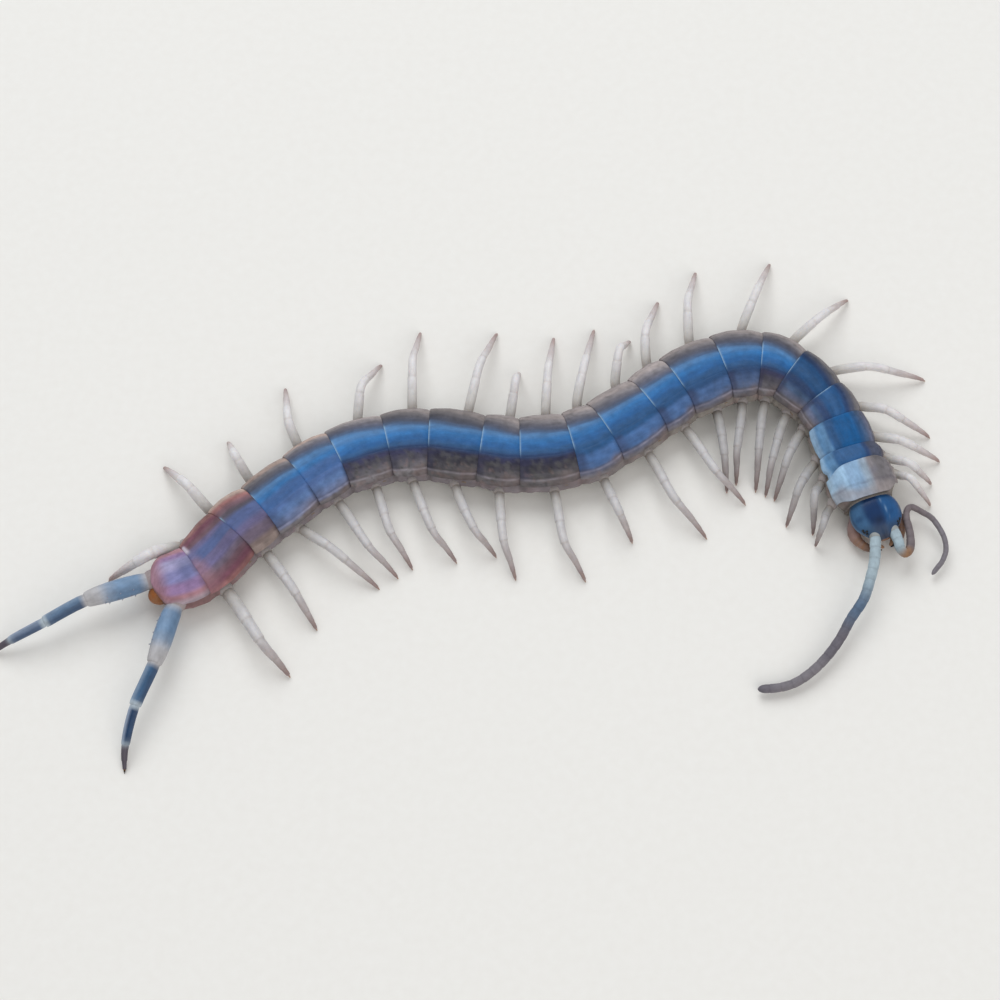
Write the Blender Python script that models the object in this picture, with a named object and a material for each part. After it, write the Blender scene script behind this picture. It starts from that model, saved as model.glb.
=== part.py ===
"""A giant centipede, life size, walking in an S-shaped pose on a level floor.

Lengths below are millimetres. X runs to the right and Y away from the viewer, and the
animal's head lies at the right. Its left side is the far side and its right side the near one.
"""
import math

import bmesh
import bpy
from mathutils import Vector

# Driving dimensions
MILLIMETRE = 0.001
GAP = 0.3
SEGMENTS = 21
PLATE_MARGIN_HEIGHT = 3.3
PLATE_SHARE = 0.975
FLANK_SHARE = 1.02
BELLY_HEIGHT = 0.85
BACK_HEIGHT = 5.15
COXA_HEIGHT = 1.95
COXA_RADIUS = 0.75
COXA_SHARES = {1: 0.85, 2: 0.95, 19: 1.1, 20: 1.3}
COXA_TAPER = (1.05, 0.88)
COXA_REACH = 1.07
COXA_TURN = 0.85
COXA_TURN_LIMITS = (-1.0, 0.9)
KNEE_HEIGHT = 2.8
KNEE_EXTRA = 1.2
KNEE_SLOPE = 0.3
THIGH_SHARE = 0.3
THIGH_RISE = 0.3
SHIN_SHARES = (0.5, 0.86)
SHIN_RISE = 0.25
LEG_REACH = 10.0
LEG_SIDES = 8
LAST_LEG_SIDES = 10
LAST_COXA_LENGTH = 2.7
LAST_COXA_RADII = (1.3, 1.1)
HEAD_LENGTH = 4.9
HEAD_TURN = math.radians(-70)
ANTENNA_SIDES = 8
ANTENNA_ARTICLES = 19
ARTICLE_WAIST = 0.92
SHARP_ANGLE = math.radians(40)

# The whole is moved by this, so that the middle of its box stands over the origin
CENTRING = Vector((3.099, 0.85, 0.0))

# Body midline at the joints between the back plates, from the rear of plate 21 to the head
MIDLINE = [
    (-38.6, -12.0), (-33.9, -10.1), (-30.1, -5.5), (-26.9, -2.8), (-22.4, 1.0), (-18.3, 3.6),
    (-12.7, 5.4), (-7.9, 5.8), (-1.9, 5.0), (2.5, 4.5), (8.4, 5.3), (12.3, 7.2),
    (17.3, 10.6), (20.8, 13.1), (26.0, 15.6), (30.5, 16.0), (33.9, 14.5), (37.1, 11.2),
    (38.7, 8.2), (39.9, 4.4), (40.6, 2.6), (41.9, -1.5),
]
# Half the width of the plates at the same joints
HALF_WIDTHS = [
    2.9, 3.6, 3.95, 3.9, 3.95, 4.05, 4.15, 4.35, 4.4, 4.5, 4.5,
    4.35, 4.2, 4.25, 4.35, 4.25, 3.85, 3.5, 3.5, 3.6, 3.8, 4.0,
]

# Knee and foot of each walking leg, 1 to 20, where they stand on the floor plan
RIGHT_LEGS = [
    ((36.5, -4.6), (35.9, -5.9)), ((35.6, -1.3), (35.7, -4.5)), ((34.0, 0.0), (32.7, -3.5)),
    ((32.9, 3.8), (31.5, -0.2)), ((31.1, 3.4), (30.5, 0.3)), ((29.7, 5.0), (29.4, 0.9)),
    ((27.2, 5.0), (27.2, 1.8)), ((25.7, 4.8), (26.1, 0.8)), ((24.7, 2.4), (28.2, -0.7)),
    ((19.7, -0.8), (23.6, -5.0)), ((13.3, -2.6), (15.1, -5.5)), ((7.2, -6.3), (9.7, -10.3)),
    ((0.4, -6.3), (1.8, -10.1)), ((-2.9, -5.0), (-0.4, -7.3)), ((-7.6, -5.1), (-4.9, -8.0)),
    ((-12.5, -5.0), (-9.9, -8.8)), ((-14.9, -6.9), (-11.5, -9.9)), ((-19.1, -7.2), (-13.6, -11.2)),
    ((-23.3, -12.0), (-20.5, -16.2)), ((-26.4, -18.7), (-23.3, -21.8)),
]
LEFT_LEGS = [
    ((46.6, 0.9), (49.4, -0.8)), ((46.7, 2.8), (49.7, 1.9)), ((46.0, 6.0), (50.9, 4.8)),
    ((44.6, 10.1), (50.0, 7.9)), ((43.2, 15.9), (50.0, 15.4)), ((37.7, 22.5), (41.6, 26.3)),
    ((30.3, 25.8), (32.5, 31.3)), ((22.2, 24.6), (23.5, 30.1)), ((17.1, 20.6), (18.9, 26.0)),
    ((13.9, 17.6), (15.4, 20.6)), ((9.7, 15.5), (11.2, 22.3)), ((5.6, 15.4), (6.4, 21.2)),
    ((1.8, 13.6), (2.3, 16.3)), ((-2.4, 16.0), (-0.3, 21.8)), ((-10.2, 16.6), (-9.4, 21.9)),
    ((-16.1, 13.2), (-13.9, 17.5)), ((-24.4, 8.6), (-25.2, 14.4)), ((-30.1, 3.6), (-31.6, 7.3)),
    ((-35.6, 0.4), (-38.9, 4.1)), ((-39.4, -8.2), (-44.3, -10.2)),
]
# Last pair of legs: the point inside segment 21 that each springs from, then its joints
RIGHT_LAST_LEG = [
    (-35.6, -12.0, 2.4), (-36.9, -16.6, 3.0), (-38.1, -21.3, 3.1), (-40.0, -26.2, 2.6),
    (-40.9, -30.3, 1.5), (-41.0, -33.0, 0.0),
]
LEFT_LAST_LEG = [
    (-37.1, -10.4, 2.4), (-42.5, -12.4, 3.0), (-46.5, -13.9, 3.1), (-51.0, -16.4, 2.6),
    (-54.6, -18.0, 1.5), (-57.1, -19.1, 0.0),
]
# Course of the antennae beyond their roots
RIGHT_ANTENNA = [
    (42.1, -8.7, 2.9), (41.4, -11.3, 2.6), (40.6, -13.4, 2.3), (39.1, -15.6, 2.0),
    (37.9, -17.7, 1.7), (36.4, -19.7, 1.4), (34.7, -21.4, 1.2), (32.8, -22.7, 1.0),
    (30.9, -23.3, 0.9), (28.5, -23.5, 0.9),
]
LEFT_ANTENNA = [
    (44.9, -6.5, 3.0), (45.1, -7.4, 2.9), (45.7, -7.8, 2.6), (46.3, -7.0, 2.4),
    (46.4, -5.7, 2.4), (46.3, -4.5, 2.4), (46.1, -3.3, 2.4), (46.3, -2.3, 2.3),
    (46.8, -1.9, 2.2), (47.5, -2.1, 2.0), (48.2, -2.5, 1.9), (48.9, -2.9, 1.8),
    (49.5, -3.5, 1.6), (50.2, -4.8, 1.5), (50.5, -5.9, 1.4), (50.5, -7.0, 1.2),
    (50.0, -8.2, 1.1), (49.5, -8.8, 0.9), (48.8, -9.7, 0.9),
]

# Where each coxa, 1 to 20, sits along its segment, counted from the rear joint
RIGHT_COXAE = [
    0.80, 1.05, 0.88, 0.68, 0.65, 0.68, 0.27, 0.45, 0.40, 0.44,
    0.37, 0.52, 0.57, 0.59, 0.52, 0.52, 0.42, 0.38, 0.36, 0.14,
]
LEFT_COXAE = [
    0.34, 0.76, 0.52, 0.59, 0.52, 0.52, 0.55, 0.66, 0.74, 0.74,
    0.76, 0.58, 0.52, 0.56, 0.59, 0.56, 0.42, 0.29, 0.05, 0.12,
]

# Along a segment from its rear, how wide it is there and how far its back lies lower
SEGMENT_STATIONS = [
    (0.0, 1.0, 0.0), (0.28, 1.035, -0.02), (0.68, 1.02, 0.0), (0.90, 0.965, 0.1),
    (0.955, 0.925, 0.28),
]
# The rounded rear of the last segment: as above, and how far its belly lies higher
TAIL_STATIONS = [(-0.02, 0.34, 1.0, 0.5), (0.06, 0.66, 0.5, 0.3), (0.16, 0.90, 0.15, 0.1)]
# The last belly plate: where it lies, then its radius along it
TAIL_LOBE_ASIDE = 0.7
TAIL_LOBE_HEIGHT = 1.95
TAIL_LOBE = [(1.6, 0.7), (0.8, 1.15), (0.0, 1.2), (-0.7, 0.85), (-1.05, 0.35)]
# Along the head from the neck: half width, and heights of its top, its margin and its underside
HEAD_STATIONS = [
    (GAP / 2, 2.45, 4.45, 3.06, 1.15), (0.8, 2.8, 4.6, 3.09, 1.15), (1.8, 3.0, 4.5, 3.01, 1.75),
    (2.8, 2.85, 4.3, 2.91, 1.95), (3.5, 2.4, 4.05, 2.81, 2.0), (4.1, 1.85, 3.75, 2.72, 2.05),
    (4.6, 1.25, 3.4, 2.69, 2.1), (HEAD_LENGTH, 0.6, 3.05, 2.69, 2.3),
]
# Where an antenna and a poison claw join the head: along it, aside and height
ANTENNA_SOCKET = (4.45, 1.15, 2.95)
SOCKET_RADII = (0.66, 0.6)
CLAW_BASE = (1.35, 2.2, 1.55)
CLAW_BASE_RADII = (0.72, 0.66)
# Half width of the claws' broad plate along the head, and the half outline of its section
CLAW_PLATE = [(0.4, 1.9), (1.4, 1.75), (2.4, 1.3), (3.4, 1.05), (3.9, 0.8)]
CLAW_PLATE_SIDE = [(0.0, 2.4), (0.7, 2.3), (1.0, 1.7), (0.8, 1.15), (0.4, 0.95)]
# Course of a poison claw from its base: along the head, aside and height
CLAW_COURSE = [
    (2.5, 2.75, 1.4), (3.5, 2.7, 1.3), (4.5, 2.15, 1.3), (5.2, 1.35, 1.3), (5.5, 0.5, 1.3),
]

# Fraction of a leg's length, and the radius there as a share of its coxa's radius
LEG_PROFILE = [
    (0.0, 0.74), (0.07, 0.76), (0.20, 0.75), (0.33, 0.71), (0.37, 0.68), (0.55, 0.63),
    (0.59, 0.59), (0.77, 0.46), (0.93, 0.28), (1.0, 0.20),
]
# Fraction of a last leg's length, and the radius there
LAST_LEG_PROFILE = [
    (0.0, 0.95), (0.05, 1.12), (0.14, 1.28), (0.24, 1.20), (0.32, 1.0), (0.345, 0.86),
    (0.365, 0.72), (0.56, 0.70), (0.605, 0.70), (0.625, 0.54), (0.65, 0.56), (0.76, 0.56),
    (0.825, 0.50), (0.845, 0.40), (0.92, 0.36), (0.935, 0.28), (0.97, 0.24), (1.0, 0.15),
]
# Fraction of a poison claw's length, and the radius there
CLAW_PROFILE = [
    (0.0, 0.60), (0.10, 0.70), (0.25, 0.72), (0.40, 0.66), (0.52, 0.55), (0.62, 0.50),
    (0.72, 0.42), (0.82, 0.32), (0.91, 0.21), (1.0, 0.08),
]
# Radius of an antenna at its root and near its tip, and how soon it tapers
RIGHT_ANTENNA_TAPER = (0.64, 0.50, 1.0)
LEFT_ANTENNA_TAPER = (0.66, 0.30, 2.5)

LENGTHS = [(1, 3), (4, 6), (7, 9), (10, 12), (13, 15), (16, 18), (19, 21)]


def clear_scene():
    for item in list(bpy.data.objects):
        bpy.data.objects.remove(item, do_unlink=True)


def make_material(name, colour, roughness):
    material = bpy.data.materials.new(name)
    material.use_nodes = True
    shader = material.node_tree.nodes["Principled BSDF"]
    shader.inputs["Base Color"].default_value = (*colour, 1.0)
    shader.inputs["Roughness"].default_value = roughness
    shader.inputs["Metallic"].default_value = 0.0
    return material


def spline(points, place):
    """Point of a smooth curve through the points, where place counts points from 0."""
    last = len(points) - 1
    start = min(max(int(math.floor(place)), 0), last - 1)
    t = place - start
    b = points[start]
    c = points[start + 1]
    a = points[start - 1] if start > 0 else b * 2 - c
    d = points[start + 2] if start + 2 <= last else c * 2 - b
    return 0.5 * (b * 2 + (c - a) * t + (a * 2 - b * 5 + c * 4 - d) * t ** 2
                  + (b * 3 - a - c * 3 + d) * t ** 3)


def spread(points, fractions):
    """Points at the given fractions of the length of the smooth curve through the points."""
    fine = 40 * (len(points) - 1)
    samples = [spline(points, (len(points) - 1) * i / fine) for i in range(fine + 1)]
    travelled = [0.0]
    for before, after in zip(samples, samples[1:]):
        travelled.append(travelled[-1] + (after - before).length)
    found = []
    step = 0
    for fraction in fractions:
        goal = fraction * travelled[-1]
        while step < fine - 1 and travelled[step + 1] < goal:
            step += 1
        span = travelled[step + 1] - travelled[step]
        found.append(samples[step].lerp(samples[step + 1], (goal - travelled[step]) / span))
    return found


def body_frame(place):
    """Midline point, direction to the head and direction to the right, at a joint number."""
    joints = [Vector((x, y, 0.0)) for x, y in MIDLINE]
    centre = spline(joints, place)
    ahead = (spline(joints, place + 0.02) - spline(joints, place - 0.02)).normalized()
    return centre, ahead, Vector((ahead.y, -ahead.x, 0.0))


def half_width(place):
    start = min(max(int(math.floor(place)), 0), len(HALF_WIDTHS) - 2)
    part = place - start
    return HALF_WIDTHS[start] * (1 - part) + HALF_WIDTHS[start + 1] * part


def segment_joint(segment):
    """Joint number of the rear of a segment: segment 21 starts at joint 0."""
    return SEGMENTS - segment


def new_object(name, mesh_data, material):
    mesh_data.normal_update()
    bmesh.ops.recalc_face_normals(mesh_data, faces=mesh_data.faces)
    bmesh.ops.scale(mesh_data, vec=Vector((MILLIMETRE,) * 3), verts=mesh_data.verts)
    mesh = bpy.data.meshes.new(name)
    mesh_data.to_mesh(mesh)
    mesh_data.free()
    mesh.materials.append(material)
    item = bpy.data.objects.new(name, mesh)
    bpy.context.scene.collection.objects.link(item)
    return item


def loft(name, rings, material):
    """Closed skin over a row of rings of points."""
    data = bmesh.new()
    rows = [[data.verts.new(point + CENTRING) for point in ring] for ring in rings]
    for row, following in zip(rows, rows[1:]):
        for i in range(len(row)):
            j = (i + 1) % len(row)
            data.faces.new((row[i], row[j], following[j], following[i]))
    data.faces.new(rows[0])
    data.faces.new(list(reversed(rows[-1])))
    return new_object(name, data, material)


def round_rings(points, radii, sides, first_direction=None, flat_foot=False):
    """Rings square to a path, carried along it without twist."""
    rings = []
    across = None
    for i, point in enumerate(points):
        before = points[max(i - 1, 0)]
        after = points[min(i + 1, len(points) - 1)]
        direction = (after - before).normalized()
        if i == 0 and first_direction:
            direction = first_direction
        if i == len(points) - 1 and flat_foot:
            direction = Vector((0, 0, -1))
        if across is None:
            across = direction.cross(Vector((0, 0, 1))).normalized()
        across = (across - direction * across.dot(direction)).normalized()
        up = across.cross(direction)
        ring = []
        for k in range(sides):
            turn = 2 * math.pi * (k + 0.5) / sides
            ring.append(point + (across * math.cos(turn) + up * math.sin(turn)) * radii[i])
        rings.append(ring)
    return rings


def body_ring(place, widen=1.0, lower=0.0, lift=0.0):
    """Cross-section of the body: arched back plate, waist of the flank, flatter belly."""
    centre, ahead, right = body_frame(place)
    half = half_width(place) * widen
    fullness = min(1.0, half_width(place) / 4.0)
    top = PLATE_MARGIN_HEIGHT + (BACK_HEIGHT - PLATE_MARGIN_HEIGHT) * fullness - lower
    margin = PLATE_MARGIN_HEIGHT
    belly = BELLY_HEIGHT + lift
    side = [
        (0.40, top - 0.10), (0.75, top - 0.50), (PLATE_SHARE - 0.04, margin + 0.32),
        (PLATE_SHARE, margin), (0.96, margin - 0.42), (FLANK_SHARE, margin - 1.15),
        (0.96, belly + 0.72), (0.76, belly + 0.15), (0.40, belly),
    ]
    outline = [(0.0, top)] + side + [(-x, z) for x, z in reversed(side)]
    return [centre + right * (x * half) + Vector((0, 0, z)) for x, z in outline]


def keep_largest(item):
    """Drops all but the largest closed surface of a mesh."""
    data = bmesh.new()
    data.from_mesh(item.data)
    unseen = set(data.verts)
    shells = []
    while unseen:
        stack = [unseen.pop()]
        shell = set(stack)
        while stack:
            for edge in stack.pop().link_edges:
                for vertex in edge.verts:
                    if vertex in unseen:
                        unseen.remove(vertex)
                        shell.add(vertex)
                        stack.append(vertex)
        shells.append(shell)
    shells.sort(key=len)
    for shell in shells[:-1]:
        bmesh.ops.delete(data, geom=list(shell), context="VERTS")
    data.to_mesh(item.data)
    data.free()


def fuse(item, pieces):
    """Joins closed pieces to an object by one Boolean union."""
    group = bpy.data.collections.new(item.name + "_pieces")
    bpy.context.scene.collection.children.link(group)
    for piece in pieces:
        bpy.context.scene.collection.objects.unlink(piece)
        group.objects.link(piece)
    union = item.modifiers.new("Fuse", "BOOLEAN")
    union.operation = "UNION"
    union.operand_type = "COLLECTION"
    union.collection = group
    union.solver = "EXACT"
    bpy.context.view_layer.objects.active = item
    bpy.ops.object.modifier_apply(modifier=union.name)
    for piece in pieces:
        bpy.data.objects.remove(piece, do_unlink=True)
    bpy.data.collections.remove(group)
    keep_largest(item)


def smooth(item):
    item.data.shade_smooth()
    item.data.set_sharp_from_angle(angle=SHARP_ANGLE)


def leg_root(segment, side, knee):
    """Inner end, direction and outer end of the coxa that a leg grows from."""
    places = RIGHT_COXAE if side > 0 else LEFT_COXAE
    place = segment_joint(segment) + places[segment - 1]
    centre, ahead, right = body_frame(place)
    outward = right * side
    half = half_width(place)
    foot_of_leg = centre + outward * half * COXA_REACH
    towards = Vector((knee[0], knee[1], 0.0)) - foot_of_leg
    turn = math.atan2(towards.dot(ahead), towards.dot(outward))
    turn = max(COXA_TURN_LIMITS[0], min(COXA_TURN_LIMITS[1], turn * COXA_TURN))
    direction = outward * math.cos(turn) + ahead * math.sin(turn)
    end = foot_of_leg + Vector((0, 0, COXA_HEIGHT))
    return end - direction * half * 0.5, direction, end


def coxa(segment, side, knee, material):
    start, direction, end = leg_root(segment, side, knee)
    radii = [share * coxa_radius(segment) for share in COXA_TAPER]
    return loft("coxa", round_rings([start, end], radii, LEG_SIDES, direction), material)


def coxa_radius(segment):
    """The first legs are slimmer than the rest and the last two stouter."""
    return COXA_RADIUS * COXA_SHARES.get(segment, 1.0)


def walking_leg(name, segment, side, knee, foot, material):
    """Leg of seven joints that arches to the knee and stands on a small flat foot."""
    start, direction, end = leg_root(segment, side, knee)
    root = end + direction * GAP
    reach = math.dist(root.xy, knee) + math.dist(knee, foot)
    rise = KNEE_HEIGHT + max(0.0, min(KNEE_EXTRA, KNEE_SLOPE * (LEG_REACH - reach)))
    top = Vector((*knee, rise))
    sole = Vector((*foot, 0.0))
    course = [
        root,
        root + direction * (THIGH_SHARE * (top - root).length) + Vector((0, 0, THIGH_RISE)),
        top,
        top.lerp(sole, SHIN_SHARES[0]) + Vector((0, 0, SHIN_RISE)),
        top.lerp(sole, SHIN_SHARES[1]) + Vector((0, 0, SHIN_RISE)),
        sole,
    ]
    points = spread(course, [fraction for fraction, _ in LEG_PROFILE])
    radii = [share * coxa_radius(segment) for _, share in LEG_PROFILE]
    return loft(name, round_rings(points, radii, LEG_SIDES, direction, True), material)


def last_leg_root(course):
    start = Vector(course[0])
    direction = (Vector(course[1]) - start).normalized()
    return start, direction, start + direction * LAST_COXA_LENGTH


def last_leg(name, course, material):
    """One of the long stout legs that trail behind, standing on the tip of its claw."""
    start, direction, end = last_leg_root(course)
    points = [end + direction * GAP] + [Vector(point) for point in course[1:]]
    places = spread(points, [fraction for fraction, _ in LAST_LEG_PROFILE])
    radii = [radius for _, radius in LAST_LEG_PROFILE]
    rings = round_rings(places, radii, LAST_LEG_SIDES, direction, True)
    return loft(name, rings, material)


def last_coxa(course, material):
    start, direction, end = last_leg_root(course)
    rings = round_rings([start, end], LAST_COXA_RADII, LAST_LEG_SIDES, direction)
    return loft("coxa", rings, material)


def tail_lobe(material):
    """Last belly plate, which shows between the last legs."""
    centre, ahead, right = body_frame(0.0)
    middle = centre + right * TAIL_LOBE_ASIDE + Vector((0, 0, TAIL_LOBE_HEIGHT))
    points = [middle + ahead * along for along, _ in TAIL_LOBE]
    radii = [radius for _, radius in TAIL_LOBE]
    return loft("tail_lobe", round_rings(points, radii, LAST_LEG_SIDES, -ahead), material)


def trunk_length(first, last, material):
    """Several segments of the body in one piece, from the rear one forward."""
    rings = []
    for segment in range(last, first - 1, -1):
        joint = segment_joint(segment)
        for part, widen, lower in SEGMENT_STATIONS:
            if segment == SEGMENTS and part == 0.0:
                continue
            place = joint + part
            if segment == last and part == 0.0:
                place += GAP / 2 / plate_length(segment)
            rings.append(body_ring(place, widen, lower))
        if segment == first:
            place = joint + 1 - GAP / 2 / plate_length(segment)
            _, widen, lower = SEGMENT_STATIONS[-1]
            rings.append(body_ring(place, widen, lower))
    if last == SEGMENTS:
        rings = [body_ring(*station) for station in TAIL_STATIONS] + rings
    name = "trunk_%02d_%02d" % (first, last)
    item = loft(name, rings, material)
    pieces = []
    for segment in range(first, min(last, SEGMENTS - 1) + 1):
        for side, legs in ((1, RIGHT_LEGS), (-1, LEFT_LEGS)):
            pieces.append(coxa(segment, side, legs[segment - 1][0], material))
    if last == SEGMENTS:
        pieces.append(last_coxa(RIGHT_LAST_LEG, material))
        pieces.append(last_coxa(LEFT_LAST_LEG, material))
        pieces.append(tail_lobe(material))
    fuse(item, pieces)
    return item


def plate_length(segment):
    joint = segment_joint(segment)
    return math.dist(MIDLINE[joint], MIDLINE[joint + 1])


def head_place(along, aside, height):
    """Point of the head: along it from the neck, aside to the animal's right, and height."""
    ahead = Vector((math.cos(HEAD_TURN), math.sin(HEAD_TURN), 0.0))
    right = Vector((ahead.y, -ahead.x, 0.0))
    return Vector((*MIDLINE[-1], height)) + ahead * along + right * aside


def head_direction(forward, aside, rise=0.0):
    return (head_place(forward, aside, rise) - head_place(0.0, 0.0, 0.0)).normalized()


def antenna_root(side):
    forward, aside, height = ANTENNA_SOCKET
    direction = head_direction(1.0, 0.2 * side)
    return head_place(forward, aside * side, height), direction


def forcipule_root(side):
    forward, aside, height = CLAW_BASE
    direction = head_direction(0.8, 0.6 * side)
    return head_place(forward, aside * side, height), direction


def stalk(name, end, direction, length, radii, material):
    """Short round stump that ends where an antenna or a poison claw begins."""
    rings = round_rings([end - direction * length, end], radii, ANTENNA_SIDES, direction)
    return loft(name, rings, material)


def head(material):
    """Flat head plate with the blunt mouth below it, and the roots of what it carries."""
    rings = []
    for along, half, top, margin, bottom in HEAD_STATIONS:
        side = [
            (0.42, top - 0.06 * half), (0.78, top - 0.2 * half), (0.97, margin + 0.12),
            (0.98, margin - 0.15), (0.86, margin - 0.35 * (margin - bottom)),
            (0.72, bottom + 0.3 * (margin - bottom)), (0.42, bottom),
        ]
        outline = [(0.0, top)] + side + [(-x, z) for x, z in reversed(side)]
        rings.append([head_place(along, x * half, z) for x, z in outline])
    item = loft("head", rings, material)
    pieces = []
    for side in (1, -1):
        end, direction = antenna_root(side)
        pieces.append(stalk("socket", end, direction, 1.2, SOCKET_RADII, material))
        end, direction = forcipule_root(side)
        pieces.append(stalk("base", end, direction, 1.4, CLAW_BASE_RADII, material))
    pieces.append(claw_plate(material))
    fuse(item, pieces)
    return item


def claw_plate(material):
    """Broad plate under the head that carries the poison claws and ends in the mouth's teeth."""
    rings = []
    for along, half in CLAW_PLATE:
        outline = CLAW_PLATE_SIDE + [(-x, z) for x, z in reversed(CLAW_PLATE_SIDE[1:])]
        rings.append([head_place(along, x * half, z) for x, z in outline])
    return loft("claw_plate", rings, material)


def forcipule(name, side, material):
    """Poison claw that curves round the head's front towards the midline."""
    end, direction = forcipule_root(side)
    course = [end + direction * GAP]
    course += [head_place(along, aside * side, height) for along, aside, height in CLAW_COURSE]
    points = spread(course, [fraction for fraction, _ in CLAW_PROFILE])
    radii = [radius for _, radius in CLAW_PROFILE]
    return loft(name, round_rings(points, radii, ANTENNA_SIDES, direction), material)


def antenna(name, side, bends, taper, material):
    """Antenna of beaded articles, thick at the root and slimmer at the rounded tip."""
    end, direction = antenna_root(side)
    course = [end + direction * GAP] + [Vector(bend) for bend in bends]
    thick, slim, haste = taper
    fractions = [0.0]
    radii = [thick * 0.9]
    for article in range(ANTENNA_ARTICLES):
        radius = slim + (thick - slim) * (1 - article / ANTENNA_ARTICLES) ** haste
        fractions.append((article + 0.6) / ANTENNA_ARTICLES)
        radii.append(radius)
        fractions.append((article + 1.0) / ANTENNA_ARTICLES)
        radii.append(radius * ARTICLE_WAIST)
    radii[-1] = slim * 0.5
    rings = round_rings(spread(course, fractions), radii, ANTENNA_SIDES, direction)
    return loft(name, rings, material)


def build():
    clear_scene()
    plate = make_material("back_plates", (0.10, 0.17, 0.27), 0.35)
    shield = make_material("head_shield", (0.03, 0.08, 0.20), 0.3)
    pale = make_material("pale_legs", (0.60, 0.58, 0.47), 0.4)
    blue = make_material("blue_last_legs", (0.10, 0.20, 0.32), 0.35)
    feeler = make_material("feelers", (0.20, 0.30, 0.34), 0.45)
    fang = make_material("poison_claws", (0.45, 0.25, 0.10), 0.3)
    made = [head(shield)]
    for side, word in ((1, "right"), (-1, "left")):
        made.append(forcipule("forcipule_" + word, side, fang))
    made.append(antenna("antenna_right", 1, RIGHT_ANTENNA, RIGHT_ANTENNA_TAPER, feeler))
    made.append(antenna("antenna_left", -1, LEFT_ANTENNA, LEFT_ANTENNA_TAPER, feeler))
    for first, last in LENGTHS:
        made.append(trunk_length(first, last, plate))
    for side, word, legs in ((1, "right", RIGHT_LEGS), (-1, "left", LEFT_LEGS)):
        for number, (knee, foot) in enumerate(legs, start=1):
            made.append(walking_leg("leg_%s_%02d" % (word, number), number, side, knee, foot, pale))
    made.append(last_leg("leg_right_21", RIGHT_LAST_LEG, blue))
    made.append(last_leg("leg_left_21", LEFT_LAST_LEG, blue))
    for item in made:
        smooth(item)


build()
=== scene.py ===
"""Looks of a giant centipede, life size, walking in an S-shaped pose on a pale floor.

Lengths are millimetres unless a name says otherwise. The animal's left is the far side and
its right the near side. Joint numbers run from 0, the rear of segment 21, to 21, the neck.
"""
import math

import bpy
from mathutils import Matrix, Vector, noise


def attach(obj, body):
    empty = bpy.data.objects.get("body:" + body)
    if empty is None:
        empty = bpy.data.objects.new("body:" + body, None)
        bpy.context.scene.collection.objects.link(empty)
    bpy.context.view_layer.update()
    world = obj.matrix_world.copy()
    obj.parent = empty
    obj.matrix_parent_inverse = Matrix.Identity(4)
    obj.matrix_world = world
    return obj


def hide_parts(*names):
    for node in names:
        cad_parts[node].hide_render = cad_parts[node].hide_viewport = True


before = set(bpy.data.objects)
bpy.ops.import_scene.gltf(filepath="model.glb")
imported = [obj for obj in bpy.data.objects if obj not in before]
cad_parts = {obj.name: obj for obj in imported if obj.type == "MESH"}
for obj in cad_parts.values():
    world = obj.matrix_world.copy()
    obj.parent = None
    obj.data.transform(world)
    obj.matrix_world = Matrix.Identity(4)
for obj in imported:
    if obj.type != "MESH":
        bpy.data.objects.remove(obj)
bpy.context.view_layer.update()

# Driving dimensions, as in the solids
MILLIMETRE = 0.001
SEGMENTS = 21
PLATE_MARGIN_HEIGHT = 3.3
PLATE_SHARE = 0.975
FLANK_SHARE = 1.02
BELLY_HEIGHT = 0.85
BACK_HEIGHT = 5.15
COXA_HEIGHT = 1.95
COXA_RADIUS = 0.75
COXA_SHARES = {1: 0.85, 2: 0.95, 19: 1.1, 20: 1.3}
COXA_REACH = 1.07
COXA_TURN = 0.85
COXA_TURN_LIMITS = (-1.0, 0.9)
KNEE_HEIGHT = 2.8
KNEE_EXTRA = 1.2
KNEE_SLOPE = 0.3
THIGH_SHARE = 0.3
THIGH_RISE = 0.3
SHIN_SHARES = (0.5, 0.86)
SHIN_RISE = 0.25
LEG_REACH = 10.0
LAST_COXA_LENGTH = 2.7
HEAD_TURN = math.radians(-70)
ANTENNA_ARTICLES = 19
CENTRING = Vector((3.099, 0.85, 0.0))
SPIRACLE_SEGMENTS = (3, 5, 8, 10, 12, 14, 16, 18, 20)

# Sizes that only the looks need
PLATE_THICKNESS = 0.12
REAR_LIP = 0.05
GROOVE_PLACE = 0.885
GLOSS_SHARE = 0.018
DARKEST = 0.004
SUTURE_PLACE = 0.34
CAMERA_DISTANCE = 280.0
CAMERA_ELEVATION = math.radians(65)
PIXELS_PER_MILLIMETRE = 8.7
PICTURE_WIDTH = 1000.0
SENSOR_WIDTH = 36.0

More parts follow.
